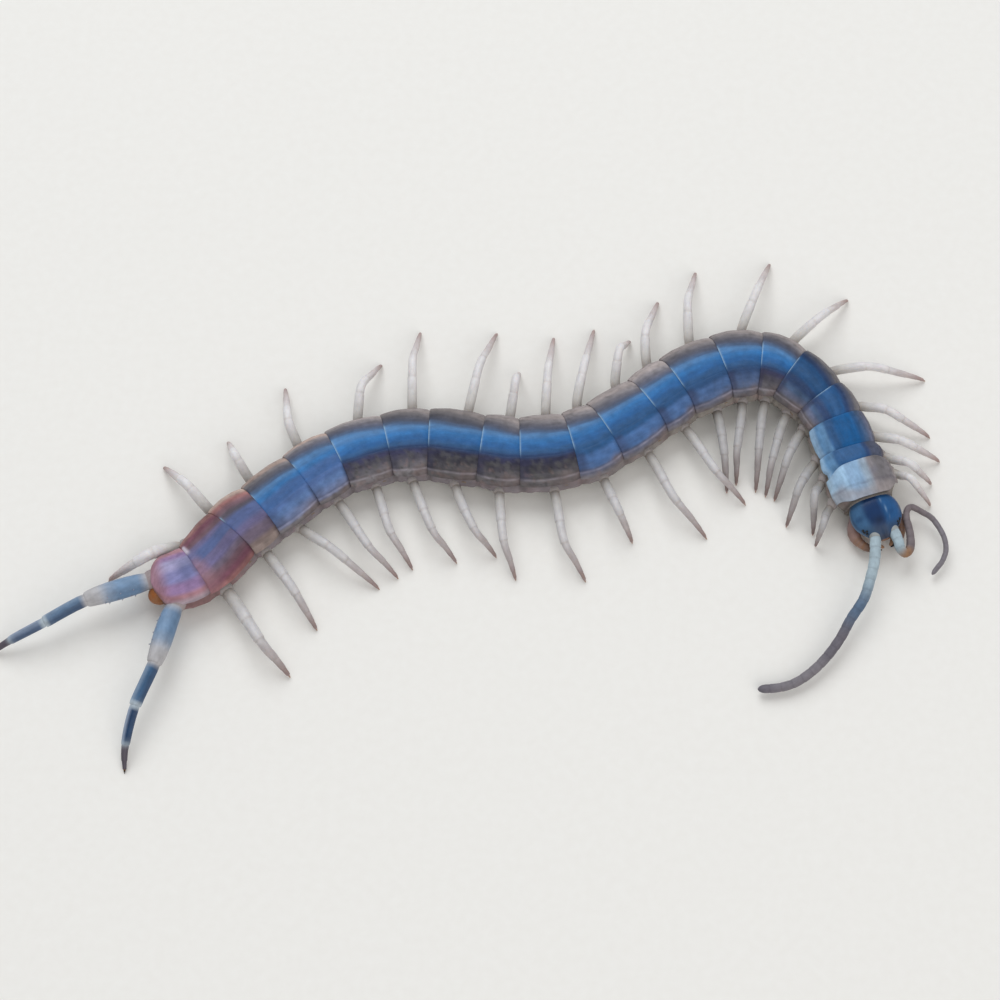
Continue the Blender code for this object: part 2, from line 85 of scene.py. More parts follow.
MIDLINE = [
    (-38.6, -12.0), (-33.9, -10.1), (-30.1, -5.5), (-26.9, -2.8), (-22.4, 1.0), (-18.3, 3.6),
    (-12.7, 5.4), (-7.9, 5.8), (-1.9, 5.0), (2.5, 4.5), (8.4, 5.3), (12.3, 7.2),
    (17.3, 10.6), (20.8, 13.1), (26.0, 15.6), (30.5, 16.0), (33.9, 14.5), (37.1, 11.2),
    (38.7, 8.2), (39.9, 4.4), (40.6, 2.6), (41.9, -1.5),
]
HALF_WIDTHS = [
    2.9, 3.6, 3.95, 3.9, 3.95, 4.05, 4.15, 4.35, 4.4, 4.5, 4.5,
    4.35, 4.2, 4.25, 4.35, 4.25, 3.85, 3.5, 3.5, 3.6, 3.8, 4.0,
]
RIGHT_LEGS = [
    ((36.5, -4.6), (35.9, -5.9)), ((35.6, -1.3), (35.7, -4.5)), ((34.0, 0.0), (32.7, -3.5)),
    ((32.9, 3.8), (31.5, -0.2)), ((31.1, 3.4), (30.5, 0.3)), ((29.7, 5.0), (29.4, 0.9)),
    ((27.2, 5.0), (27.2, 1.8)), ((25.7, 4.8), (26.1, 0.8)), ((24.7, 2.4), (28.2, -0.7)),
    ((19.7, -0.8), (23.6, -5.0)), ((13.3, -2.6), (15.1, -5.5)), ((7.2, -6.3), (9.7, -10.3)),
    ((0.4, -6.3), (1.8, -10.1)), ((-2.9, -5.0), (-0.4, -7.3)), ((-7.6, -5.1), (-4.9, -8.0)),
    ((-12.5, -5.0), (-9.9, -8.8)), ((-14.9, -6.9), (-11.5, -9.9)), ((-19.1, -7.2), (-13.6, -11.2)),
    ((-23.3, -12.0), (-20.5, -16.2)), ((-26.4, -18.7), (-23.3, -21.8)),
]
LEFT_LEGS = [
    ((46.6, 0.9), (49.4, -0.8)), ((46.7, 2.8), (49.7, 1.9)), ((46.0, 6.0), (50.9, 4.8)),
    ((44.6, 10.1), (50.0, 7.9)), ((43.2, 15.9), (50.0, 15.4)), ((37.7, 22.5), (41.6, 26.3)),
    ((30.3, 25.8), (32.5, 31.3)), ((22.2, 24.6), (23.5, 30.1)), ((17.1, 20.6), (18.9, 26.0)),
    ((13.9, 17.6), (15.4, 20.6)), ((9.7, 15.5), (11.2, 22.3)), ((5.6, 15.4), (6.4, 21.2)),
    ((1.8, 13.6), (2.3, 16.3)), ((-2.4, 16.0), (-0.3, 21.8)), ((-10.2, 16.6), (-9.4, 21.9)),
    ((-16.1, 13.2), (-13.9, 17.5)), ((-24.4, 8.6), (-25.2, 14.4)), ((-30.1, 3.6), (-31.6, 7.3)),
    ((-35.6, 0.4), (-38.9, 4.1)), ((-39.4, -8.2), (-44.3, -10.2)),
]
RIGHT_LAST_LEG = [
    (-35.6, -12.0, 2.4), (-36.9, -16.6, 3.0), (-38.1, -21.3, 3.1), (-40.0, -26.2, 2.6),
    (-40.9, -30.3, 1.5), (-41.0, -33.0, 0.0),
]
LEFT_LAST_LEG = [
    (-37.1, -10.4, 2.4), (-42.5, -12.4, 3.0), (-46.5, -13.9, 3.1), (-51.0, -16.4, 2.6),
    (-54.6, -18.0, 1.5), (-57.1, -19.1, 0.0),
]
RIGHT_ANTENNA = [
    (42.1, -8.7, 2.9), (41.4, -11.3, 2.6), (40.6, -13.4, 2.3), (39.1, -15.6, 2.0),
    (37.9, -17.7, 1.7), (36.4, -19.7, 1.4), (34.7, -21.4, 1.2), (32.8, -22.7, 1.0),
    (30.9, -23.3, 0.9), (28.5, -23.5, 0.9),
]
LEFT_ANTENNA = [
    (44.9, -6.5, 3.0), (45.1, -7.4, 2.9), (45.7, -7.8, 2.6), (46.3, -7.0, 2.4),
    (46.4, -5.7, 2.4), (46.3, -4.5, 2.4), (46.1, -3.3, 2.4), (46.3, -2.3, 2.3),
    (46.8, -1.9, 2.2), (47.5, -2.1, 2.0), (48.2, -2.5, 1.9), (48.9, -2.9, 1.8),
    (49.5, -3.5, 1.6), (50.2, -4.8, 1.5), (50.5, -5.9, 1.4), (50.5, -7.0, 1.2),
    (50.0, -8.2, 1.1), (49.5, -8.8, 0.9), (48.8, -9.7, 0.9),
]
# Where each coxa, 1 to 20, sits along its segment, counted from the rear joint
RIGHT_COXAE = [
    0.80, 1.05, 0.88, 0.68, 0.65, 0.68, 0.27, 0.45, 0.40, 0.44,
    0.37, 0.52, 0.57, 0.59, 0.52, 0.52, 0.42, 0.38, 0.36, 0.14,
]
LEFT_COXAE = [
    0.34, 0.76, 0.52, 0.59, 0.52, 0.52, 0.55, 0.66, 0.74, 0.74,
    0.76, 0.58, 0.52, 0.56, 0.59, 0.56, 0.42, 0.29, 0.05, 0.12,
]
# Radius of an antenna at its root and near its tip, and how soon it tapers
RIGHT_ANTENNA_TAPER = (0.64, 0.50, 1.0)
LEFT_ANTENNA_TAPER = (0.66, 0.30, 2.5)
# Along, half width, top, margin and bottom of the head, from under the first plate to the lip
HEAD_STATIONS = [
    (-0.6, 2.2, 4.30, 3.02, 1.3), (0.15, 2.45, 4.45, 3.06, 1.15), (0.8, 2.8, 4.6, 3.09, 1.15),
    (1.8, 3.0, 4.5, 3.01, 1.75), (2.8, 2.85, 4.3, 2.91, 1.95), (3.5, 2.4, 4.05, 2.81, 2.0),
    (4.1, 1.85, 3.75, 2.72, 2.05), (4.6, 1.25, 3.4, 2.69, 2.1), (4.9, 0.6, 3.05, 2.69, 2.3),
]


def srgb(red, green, blue):
    """Linear colour from the usual 0 to 255 values."""
    linear = []
    for value in (red, green, blue):
        value = value / 255
        linear.append(value / 12.92 if value <= 0.04045 else ((value + 0.055) / 1.055) ** 2.4)
    return Vector(linear)


def seen(red, green, blue):
    """Paint that looks like the given colour once the gloss has added its share."""
    return Vector([max(DARKEST, value - GLOSS_SHARE) for value in srgb(red, green, blue)])


# Back plates
STRONG_BLUE = seen(60, 112, 166)
# Painted highlight along the far side of the blue stripe
HIGHLIGHT_BLUE = seen(84, 124, 168)
DEEP_BLUE = seen(54, 98, 150)
TEAL_BLUE = seen(42, 88, 136)
MID_BLUE = seen(58, 90, 130)
DIM_BLUE = seen(50, 82, 122)
INDIGO = seen(56, 72, 104)
STEEL = seen(78, 96, 124)
SLATE = seen(82, 86, 102)
ASH = seen(98, 96, 104)
FAR_GREY = seen(126, 121, 124)
PINK_TAN = seen(152, 142, 140)
WARM_TAN = seen(170, 148, 138)
# Painted shade on the near slope below the stripe and at the rear of each near half
SHADE_VIOLET = seen(62, 62, 82)
STONE = seen(72, 70, 78)
PALE_STONE = seen(94, 91, 96)
MARGIN_GREY = seen(112, 108, 110)
VIOLET_BLUE = seen(72, 102, 150)
CORNFLOWER = seen(88, 112, 158)
PERIWINKLE = seen(98, 122, 164)
PALE_LILAC = seen(116, 126, 158)
LILAC_GREY = seen(104, 108, 128)
PATCH_BLUE = seen(84, 114, 160)
BRICK = seen(142, 102, 100)
PLUM_RED = seen(118, 80, 92)
PLUM_DARK = seen(110, 86, 94)
SOOT = seen(84, 78, 88)
DUSTY_BLUE = seen(86, 98, 138)
PLUM = seen(106, 100, 132)
GREY_PLUM = seen(112, 100, 114)
WARM_STONE = seen(132, 116, 112)
LAVENDER = seen(128, 126, 166)
PALE_LAVENDER = seen(154, 148, 180)
ROSE = seen(166, 124, 132)
MAUVE = seen(148, 122, 158)
# Painted highlight on the raised margin rims and at the far rear corner of plate 20
HIGHLIGHT_LILAC = seen(196, 186, 198)
SKY_GREY = seen(144, 158, 172)
SKY_BLUE = seen(134, 162, 190)
FROST = seen(154, 184, 210)
LOBE_BLUE = seen(98, 134, 170)
# Painted highlight on the plates' rear edges within the stripe, and on the head shield's far seam and rim
EDGE_HIGHLIGHT_BLUE = seen(150, 176, 198)
ICE_BLUE = seen(174, 200, 220)
PALE_ROSE = seen(168, 152, 160)
SANDSTONE = seen(150, 134, 128)
# Painted shade in the groove inside each plate margin
GROOVE_SHADE = seen(60, 54, 56)
# Painted shadow under the rear edge of the plate ahead, and on the plates' undersides
SEAM_SHADOW = seen(48, 46, 60)
PINK_MARGIN = seen(126, 112, 110)
# Head
NAVY = seen(46, 64, 98)
HEAD_BLUE = seen(54, 91, 136)
HEAD_SIDE = seen(72, 104, 138)
HEAD_EDGE = seen(62, 80, 106)
HEAD_FRONT = seen(68, 80, 98)
HEAD_SPOT = seen(48, 56, 74)
# Flesh, belly, legs, feelers and claws
FLANK = seen(136, 128, 131)
FLANK_PINK = seen(146, 124, 124)
SHADOW_SKIN = seen(84, 76, 74)
BELLY = seen(152, 152, 142)
CREAM = seen(206, 202, 198)
LEG_WHITE = seen(222, 218, 218)
LEG_BASE = seen(178, 170, 164)
LEG_GREY = seen(200, 190, 189)
LEG_JOINT = seen(178, 164, 152)
LEG_TIP = seen(164, 142, 138)
AMBER = seen(150, 108, 66)
HORN = seen(46, 30, 22)
RUST = seen(160, 96, 52)
TAN = seen(140, 122, 104)
OLIVE = seen(100, 98, 94)
TERRACOTTA = seen(136, 114, 110)
FLANK_TAN = seen(148, 141, 134)
THIGH_BLUE = seen(122, 146, 174)
THIGH_PALE = seen(184, 180, 180)
SHANK_BLUE = seen(70, 98, 128)
# Painted light and painted shade on the last legs' femur and tibia
SHANK_LIT_BLUE = seen(124, 142, 164)
SHANK_SHADED_BLUE = seen(72, 88, 114)
SHANK_NAVY = seen(46, 66, 94)
MOSS_GREY = seen(96, 90, 98)
KNUCKLE = seen(172, 182, 190)
# Painted light on the last legs' tibia
LIT_LILAC = seen(142, 154, 174)
FEELER_PALE = seen(172, 188, 196)
FEELER_BLUE = seen(96, 114, 136)
FEELER_GREY = seen(112, 108, 115)
FEELER_DARK = seen(80, 74, 82)
FEELER_BROWN = seen(126, 116, 118)
FEELER_ROSE = seen(130, 125, 130)
FEELER_TAN = seen(152, 118, 92)

# Colours across the back, from the far margin at -1 to the near one at 1; the lighter blue on the far side of
# the stripe is a painted highlight
MID_BACK = [
    (-1.0, PINK_TAN), (-0.86, PINK_TAN), (-0.70, FAR_GREY), (-0.60, ASH), (-0.48, SLATE),
    (-0.38, STEEL), (-0.27, HIGHLIGHT_BLUE), (-0.10, STRONG_BLUE), (0.08, DEEP_BLUE), (0.22, MID_BLUE),
    (0.33, INDIGO), (0.45, SHADE_VIOLET), (0.62, STONE), (0.80, PALE_STONE), (0.92, MARGIN_GREY),
    (1.0, MARGIN_GREY),
]
PATCH_BACK = [
    (-1.0, PINK_TAN), (-0.86, PINK_TAN), (-0.70, FAR_GREY), (-0.60, ASH), (-0.48, SLATE),
    (-0.38, STEEL), (-0.27, HIGHLIGHT_BLUE), (-0.10, STRONG_BLUE), (0.08, DEEP_BLUE), (0.26, MID_BLUE),
    (0.44, MID_BLUE), (0.58, PATCH_BLUE), (0.80, PATCH_BLUE), (0.92, LILAC_GREY), (1.0, FAR_GREY),
]
VIOLET_BACK = [
    (-1.0, WARM_TAN), (-0.86, WARM_TAN), (-0.70, FAR_GREY), (-0.60, ASH), (-0.48, SLATE),
    (-0.38, STEEL), (-0.27, HIGHLIGHT_BLUE), (-0.10, STRONG_BLUE), (0.08, VIOLET_BLUE), (0.24, VIOLET_BLUE),
    (0.42, CORNFLOWER), (0.60, PERIWINKLE), (0.90, PALE_LILAC), (0.97, FAR_GREY), (1.0, MARGIN_GREY),
]
DUSTY_BACK = [
    (-1.0, WARM_TAN), (-0.88, WARM_TAN), (-0.70, BRICK), (-0.50, PLUM_DARK), (-0.32, SOOT),
    (-0.16, DUSTY_BLUE), (0.06, DUSTY_BLUE), (0.32, PLUM), (0.55, GREY_PLUM), (0.70, GREY_PLUM),
    (0.84, WARM_STONE), (0.92, SANDSTONE), (1.0, SANDSTONE),
]
PLUM_BACK = [
    (-1.0, BRICK), (-0.88, BRICK), (-0.72, PLUM_RED), (-0.50, PLUM_DARK), (-0.36, PLUM),
    (-0.18, DUSTY_BLUE), (0.02, DUSTY_BLUE), (0.10, PLUM), (0.34, PLUM), (0.52, GREY_PLUM),
    (0.70, PLUM_DARK), (0.86, PLUM_RED), (1.0, BRICK),
]
ROSE_BACK = [
    (-1.0, ROSE), (-0.85, ROSE), (-0.64, MAUVE), (-0.42, PALE_LAVENDER), (-0.20, PALE_LAVENDER),
    (0.02, LAVENDER), (0.28, LAVENDER), (0.50, MAUVE), (0.70, MAUVE), (0.84, ROSE), (1.0, PALE_ROSE),
]
FROST_BACK = [
    (-1.0, PINK_TAN), (-0.85, FAR_GREY), (-0.52, MARGIN_GREY), (-0.30, FAR_GREY), (-0.10, SKY_GREY),
    (0.12, SKY_BLUE), (0.40, SKY_BLUE), (0.58, FROST), (0.80, FROST), (1.0, ICE_BLUE),
]
SECOND_BACK = [
    (-1.0, SOOT), (-0.85, SLATE), (-0.58, SLATE), (-0.42, INDIGO), (-0.28, MID_BLUE),
    (0.40, MID_BLUE), (0.54, MID_BLUE), (0.70, LOBE_BLUE), (0.84, LOBE_BLUE), (1.0, FROST),
]
THIRD_BACK = [
    (-1.0, ASH), (-0.86, LILAC_GREY), (-0.66, STEEL), (-0.50, MID_BLUE), (-0.36, TEAL_BLUE),
    (0.14, TEAL_BLUE), (0.32, DIM_BLUE), (0.48, MID_BLUE), (0.60, LOBE_BLUE), (0.82, LOBE_BLUE),
    (0.90, SKY_BLUE), (1.0, FROST),
]
FRONT_BACK = [
    (-1.0, MARGIN_GREY), (-0.88, MARGIN_GREY), (-0.70, SLATE), (-0.52, INDIGO), (-0.36, DIM_BLUE),
    (-0.05, MID_BLUE), (0.10, DIM_BLUE), (0.26, INDIGO), (0.40, INDIGO), (0.56, STEEL),
    (0.74, LILAC_GREY), (0.90, MARGIN_GREY), (1.0, MARGIN_GREY),
]
BACKS = {
    1: FROST_BACK, 2: SECOND_BACK, 3: THIRD_BACK, 4: FRONT_BACK, 5: FRONT_BACK, 17: VIOLET_BACK,
    18: VIOLET_BACK, 19: DUSTY_BACK, 20: PLUM_BACK, 21: ROSE_BACK,
}
# How much of the blue patch some plates have on the near half
PATCHES = {7: 0.5, 8: 0.75, 9: 0.9, 10: 1.0, 11: 1.0}
# How light the whole plate is, and its near half alone, where they differ from the rest
PLATE_SHADES = {1: 1.10, 2: 1.12, 3: 1.04, 4: 1.1, 5: 0.9, 14: 0.94, 16: 1.06, 18: 0.96, 21: 1.08}
NEAR_SHADES = {6: 1.25, 12: 0.88, 14: 0.84, 15: 1.55, 16: 1.42, 18: 1.05}
# How far the stripe's far edge is moved towards the near side, and how light the far band is
FAR_SHIFTS = {9: 0.08, 10: 0.07, 11: 0.05, 12: 0.04, 13: 0.05, 14: 0.02, 16: -0.08, 17: -0.06}
FAR_SHADES = {9: 1.4, 10: 1.15, 11: 1.15, 12: 1.05, 14: 0.78, 15: 0.86, 16: 1.15, 17: 1.3, 19: 1.25}


# Small tools

def smoothstep(low, high, value):
    part = min(max((value - low) / (high - low), 0.0), 1.0)
    return part * part * (3 - 2 * part)


def band(stops, place):
    """Colour at a place between named colours that blend smoothly from stop to stop."""
    for (low, first), (high, second) in zip(stops, stops[1:]):
        if place <= high:
            return first.lerp(second, smoothstep(low, high, place))
    return stops[-1][1]


def hill(value, middle, width):
    return math.exp(-((value - middle) / width) ** 2)


def mix(first, second, share):
    return first.lerp(second, min(max(share, 0.0), 1.0))


def spline(points, place):
    """Point of a smooth curve through the points, where place counts points from 0."""
    last = len(points) - 1
    start = min(max(int(math.floor(place)), 0), last - 1)
    t = place - start
    b = points[start]
    c = points[start + 1]
    a = points[start - 1] if start > 0 else b * 2 - c
    d = points[start + 2] if start + 2 <= last else c * 2 - b
    return 0.5 * (b * 2 + (c - a) * t + (a * 2 - b * 5 + c * 4 - d) * t ** 2
                  + (b * 3 - a - c * 3 + d) * t ** 3)


def spread(points, fractions):
    """Points at the given fractions of the length of the smooth curve through the points."""
    fine = 40 * (len(points) - 1)
    samples = [spline(points, (len(points) - 1) * i / fine) for i in range(fine + 1)]
    travelled = [0.0]
    for before, after in zip(samples, samples[1:]):
        travelled.append(travelled[-1] + (after - before).length)
    found = []
    step = 0
    for fraction in fractions:
        goal = fraction * travelled[-1]
        while step < fine - 1 and travelled[step + 1] < goal:
            step += 1
        span = travelled[step + 1] - travelled[step]
        found.append(samples[step].lerp(samples[step + 1], (goal - travelled[step]) / span))
    return found


def loop_points(corners, count):
    """Evenly numbered points of a smooth closed curve through 2-D corners."""
    total = len(corners)
    ring = [Vector(corner) for corner in corners]
    found = []
    for i in range(count):
        place = total * i / count
        start = int(place)
        t = place - start
        a, b, c, d = (ring[(start + k) % total] for k in (-1, 0, 1, 2))
        found.append(0.5 * (b * 2 + (c - a) * t + (a * 2 - b * 5 + c * 4 - d) * t ** 2
                            + (b * 3 - a - c * 3 + d) * t ** 3))
    return found


def ripple(point, size, salt=0.0):
    """Smooth noise from -1 to 1 whose lumps are about the given size."""
    return noise.noise(point / size + Vector((salt, salt * 0.7, salt * 1.3)))


JOINTS = [Vector((x, y, 0.0)) for x, y in MIDLINE]


def body_frame(place):
    """Midline point, direction to the head and direction to the right, at a joint number."""
    centre = spline(JOINTS, place)
    ahead = (spline(JOINTS, place + 0.02) - spline(JOINTS, place - 0.02)).normalized()
    return centre, ahead, Vector((ahead.y, -ahead.x, 0.0))


def half_width(place):
    start = min(max(int(math.floor(place)), 0), len(HALF_WIDTHS) - 2)
    part = place - start
    return HALF_WIDTHS[start] * (1 - part) + HALF_WIDTHS[start + 1] * part


def back_height(place):
    fullness = min(1.0, half_width(place) / 4.0)
    return PLATE_MARGIN_HEIGHT + (BACK_HEIGHT - PLATE_MARGIN_HEIGHT) * fullness


# Materials

def link(tree, source, output, target, socket):
    tree.links.new(source.outputs[output], target.inputs[socket])


def scaled_noise(tree, source, output, scale, detail, low, high):
    """Noise spread over a range, from a node that gives the place."""
    texture = tree.nodes.new("ShaderNodeTexNoise")
    texture.inputs["Scale"].default_value = scale
    texture.inputs["Detail"].default_value = detail
    texture.inputs["Roughness"].default_value = 0.6
    link(tree, source, output, texture, "Vector")
    spreader = tree.nodes.new("ShaderNodeMapRange")
    spreader.inputs["From Min"].default_value = 0.3
    spreader.inputs["From Max"].default_value = 0.7
    spreader.inputs["To Min"].default_value = low
    spreader.inputs["To Max"].default_value = high
    link(tree, texture, "Fac", spreader, "Value")
    return spreader


def cuticle(name, roughness, coat=0.0, mottle=0.10, streak=0.10, grain=1.0, bump=0.5, soft=0.0):
    """Insect-like shell: painted colour, blotches, lengthwise streaks, pits and uneven gloss."""
    material = bpy.data.materials.new(name)
    material.use_nodes = True
    tree = material.node_tree
    shader = tree.nodes["Principled BSDF"]
    shader.inputs["Specular IOR Level"].default_value = 0.16
    shader.inputs["Coat Weight"].default_value = coat
    shader.inputs["Coat Roughness"].default_value = 0.25
    shader.inputs["Subsurface Weight"].default_value = soft
    shader.inputs["Subsurface Radius"].default_value = (1.0, 0.7, 0.45)
    shader.inputs["Subsurface Scale"].default_value = 0.6 * MILLIMETRE
    place = tree.nodes.new("ShaderNodeTexCoord")
    paint = tree.nodes.new("ShaderNodeAttribute")
    paint.attribute_name = "Paint"
    course = tree.nodes.new("ShaderNodeAttribute")
    course.attribute_name = "Course"

    blotches = scaled_noise(tree, place, "Object", 1100 * grain, 6, 1 - mottle, 1 + mottle)
    streaks = scaled_noise(tree, course, "Vector", 1.0, 5, 1 - streak, 1 + streak)
    tinted = tree.nodes.new("ShaderNodeVectorMath")
    tinted.operation = "SCALE"
    link(tree, paint, "Color", tinted, "Vector")
    link(tree, blotches, "Result", tinted, "Scale")
    streaked = tree.nodes.new("ShaderNodeVectorMath")
    streaked.operation = "SCALE"
    link(tree, tinted, "Vector", streaked, "Vector")
    link(tree, streaks, "Result", streaked, "Scale")
    link(tree, streaked, "Vector", shader, "Base Color")

    gloss = scaled_noise(tree, place, "Object", 900 * grain, 4, roughness - 0.06, roughness + 0.10)
    link(tree, gloss, "Result", shader, "Roughness")

    pits = tree.nodes.new("ShaderNodeTexVoronoi")
    pits.inputs["Scale"].default_value = 7000 * grain
    link(tree, place, "Object", pits, "Vector")
    wrinkles = tree.nodes.new("ShaderNodeTexNoise")
    wrinkles.inputs["Scale"].default_value = 2600 * grain
    wrinkles.inputs["Detail"].default_value = 8
    wrinkles.inputs["Roughness"].default_value = 0.6
    link(tree, place, "Object", wrinkles, "Vector")
    small = tree.nodes.new("ShaderNodeBump")
    small.inputs["Strength"].default_value = bump * 0.5
    small.inputs["Distance"].default_value = 0.03 * MILLIMETRE
    link(tree, pits, "Distance", small, "Height")
    large = tree.nodes.new("ShaderNodeBump")
    large.inputs["Strength"].default_value = bump
    large.inputs["Distance"].default_value = 0.10 * MILLIMETRE
    link(tree, wrinkles, "Fac", large, "Height")
    link(tree, small, "Normal", large, "Normal")
    link(tree, large, "Normal", shader, "Normal")
    return material


def floor_material():
    """Pale matt studio board with a faint tooth."""
    material = bpy.data.materials.new("pale_board")
    material.use_nodes = True
    tree = material.node_tree
    shader = tree.nodes["Principled BSDF"]
    shader.inputs["Roughness"].default_value = 0.85
    place = tree.nodes.new("ShaderNodeTexCoord")
    tooth = tree.nodes.new("ShaderNodeTexNoise")
    tooth.inputs["Scale"].default_value = 900
    tooth.inputs["Detail"].default_value = 4
    link(tree, place, "Object", tooth, "Vector")
    ramp = tree.nodes.new("ShaderNodeValToRGB")
    ramp.color_ramp.elements[0].color = (*srgb(233, 229, 223), 1.0)
    ramp.color_ramp.elements[1].color = (*srgb(238, 235, 230), 1.0)
    link(tree, tooth, "Fac", ramp, "Fac")
    link(tree, ramp, "Color", shader, "Base Color")
    return material


BACK_SHELL = cuticle("glossy_back_shell", 0.42, coat=0.03, mottle=0.15, streak=0.13, bump=0.35)
HEAD_SHELL = cuticle("glossy_head_shell", 0.36, coat=0.08, mottle=0.08, streak=0.10, bump=0.22)
SKIN = cuticle("wrinkled_flank_skin", 0.52, mottle=0.16, streak=0.12, grain=0.8, bump=0.9, soft=0.10)
BELLY_SHELL = cuticle("belly_shell", 0.42, coat=0.1, mottle=0.10, streak=0.08, bump=0.3, soft=0.1)
LEG_SHELL = cuticle("pale_leg_shell", 0.42, coat=0.04, mottle=0.07, streak=0.09, grain=1.3,
                    bump=0.35, soft=0.15)
LAST_LEG_SHELL = cuticle("blue_leg_shell", 0.40, coat=0.05, mottle=0.10, streak=0.16, bump=0.35)
FEELER_SHELL = cuticle("downy_feeler_shell", 0.5, mottle=0.10, streak=0.10, grain=1.8, bump=0.7)
FANG_SHELL = cuticle("poison_claw_horn", 0.36, coat=0.12, mottle=0.12, streak=0.10, bump=0.2)
EYE_GLASS = cuticle("eye_black", 0.12, coat=0.6, mottle=0.05, streak=0.0, bump=0.05)


# Mesh building

def finish_piece(name, build, material):
    """Makes one smooth painted piece that rides on the body."""
    mesh = bpy.data.meshes.new(name)
    mesh.from_pydata([(p + CENTRING) * MILLIMETRE for p in build.points], [], build.faces)
    layer = mesh.color_attributes.new("Paint", "FLOAT_COLOR", "POINT")
    flat = []
    for paint in build.paints:
        flat.extend((paint[0], paint[1], paint[2], 1.0))
    layer.data.foreach_set("color", flat)
    course = mesh.attributes.new("Course", "FLOAT_VECTOR", "POINT")
    course.data.foreach_set("vector", [value for place in build.course for value in place])
    mesh.materials.append(material)
    mesh.validate()
    mesh.shade_smooth()
    mesh.set_sharp_from_angle(angle=math.radians(55))
    piece = bpy.data.objects.new(name, mesh)
    bpy.context.scene.collection.objects.link(piece)
    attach(piece, "root")
    return piece


class Build:
    """Collects the points, faces, paint and streak courses of one piece."""

    def __init__(self):
        self.points = []
        self.faces = []
        self.paints = []
        self.course = []

    def tube(self, rings, paints):
        """Closed skin over a row of rings, with one paint for each point."""
        start = len(self.points)
        count = len(rings[0])
        travel = 0.0
        before = None
        for ring, row in zip(rings, paints):
            middle = sum(ring, Vector()) / count
            travel += (middle - before).length if before else 0.0
            before = middle
            self.points.extend(ring)
            self.paints.extend(row)
            for k in range(count):
                turn = 2 * math.pi * k / count
                self.course.append((0.6 * travel, 1.6 * math.cos(turn), 1.6 * math.sin(turn) + start))
        for i in range(len(rings) - 1):
            low = start + i * count
            for k in range(count):
                j = (k + 1) % count
                self.faces.append((low + k, low + j, low + count + j, low + count + k))
        self.faces.append(tuple(reversed(range(start, start + count))))
        end = start + (len(rings) - 1) * count
        self.faces.append(tuple(range(end, end + count)))

    def shell(self, top, bottom, top_paint, bottom_paint, seed=0.0):
        """Thin closed plate between two grids of points of the same size."""
        start = len(self.points)
        rows = len(top)
        columns = len(top[0])
        for grid, colours in ((top, top_paint), (bottom, bottom_paint)):
            travel = 0.0
            before = None
            for row, paints in zip(grid, colours):
                self.points.extend(row)
                self.paints.extend(paints)
                middle = row[columns // 2]
                travel += (middle - before).length if before else 0.0
                before = middle
                aside = 0.0
                for k, point in enumerate(row):
                    aside += (point - row[k - 1]).length if k else 0.0
                    self.course.append((0.45 * travel, 2.2 * aside, seed))
        under = rows * columns

        def at(row, column, below):
            return start + row * columns + column + (under if below else 0)

        for i in range(rows - 1):
            for k in range(columns - 1):
                self.faces.append((at(i, k, 0), at(i + 1, k, 0), at(i + 1, k + 1, 0), at(i, k + 1, 0)))
                self.faces.append((at(i, k, 1), at(i, k + 1, 1), at(i + 1, k + 1, 1), at(i + 1, k, 1)))
            for k, turn in ((0, False), (columns - 1, True)):
                wall = (at(i, k, 0), at(i, k, 1), at(i + 1, k, 1), at(i + 1, k, 0))
                self.faces.append(tuple(reversed(wall)) if turn else wall)
        for k in range(columns - 1):
            for i, turn in ((0, False), (rows - 1, True)):
                wall = (at(i, k, 0), at(i, k + 1, 0), at(i, k + 1, 1), at(i, k, 1))
                self.faces.append(tuple(reversed(wall)) if turn else wall)

    def finish(self, name, material):
        return finish_piece(name, self, material)


def round_rings(points, radii, sides, first_direction=None, last_direction=None):
    """Rings square to a path, carried along it without twist."""
    rings = []
    across = None
    for i, point in enumerate(points):
        before = points[max(i - 1, 0)]
        after = points[min(i + 1, len(points) - 1)]
        direction = (after - before).normalized()
        if i == 0 and first_direction:
            direction = first_direction
        if i == len(points) - 1 and last_direction:
            direction = last_direction
        if across is None:
            across = direction.cross(Vector((0, 0, 1))).normalized()
        across = (across - direction * across.dot(direction)).normalized()
        up = across.cross(direction)
        ring = []
        for k in range(sides):
            turn = 2 * math.pi * (k + 0.5) / sides
            ring.append(point + (across * math.cos(turn) + up * math.sin(turn)) * radii[i])
        rings.append(ring)
    return rings


def add_cone(build, foot, direction, length, radius, root_paint, tip_paint, sides=8):
    """Small spine with its root sunk in what carries it."""
    direction = direction.normalized()
    steps = [(-0.25, 1.0), (0.0, 1.0), (0.35, 0.72), (0.7, 0.38), (1.0, 0.06)]
    points = [foot + direction * (length * along) for along, _ in steps]
    rings = round_rings(points, [radius * share for _, share in steps], sides, direction, direction)
    paints = [[mix(root_paint, tip_paint, along)] * sides for along, _ in steps]
    build.tube(rings, paints)


# Back plates

def plate_columns(count):
    """Places from -1 to 1 across a plate, evenly spaced over its arch, close at its grooves."""
    fine = 400
    travelled = [0.0]
    places = [-1 + 2 * i / fine for i in range(fine + 1)]
    for before, after in zip(places, places[1:]):
        rise = (arch(after) - arch(before)) * 1.85
        travelled.append(travelled[-1] + math.hypot((after - before) * 4.2, rise))
    found = []
    step = 0
    for i in range(count):
        goal = travelled[-1] * i / (count - 1)
        while step < fine - 1 and travelled[step + 1] < goal:
            step += 1
        part = (goal - travelled[step]) / (travelled[step + 1] - travelled[step])
        found.append(places[step] + (places[step + 1] - places[step]) * part)
    for side in (-1, 1):
        found.extend(side * SUTURE_PLACE + offset for offset in (-0.016, 0.0, 0.016))
        found.extend(side * GROOVE_PLACE + offset for offset in (-0.02, 0.0, 0.02))
        found.extend(side * place for place in (0.93, 0.955))
    return sorted(found)


def arch(across):
    """Height of a plate's cross-section from 0 at its margins to 1 at the middle."""
    return max(0.0, 1 - abs(across) ** 3) ** 0.667


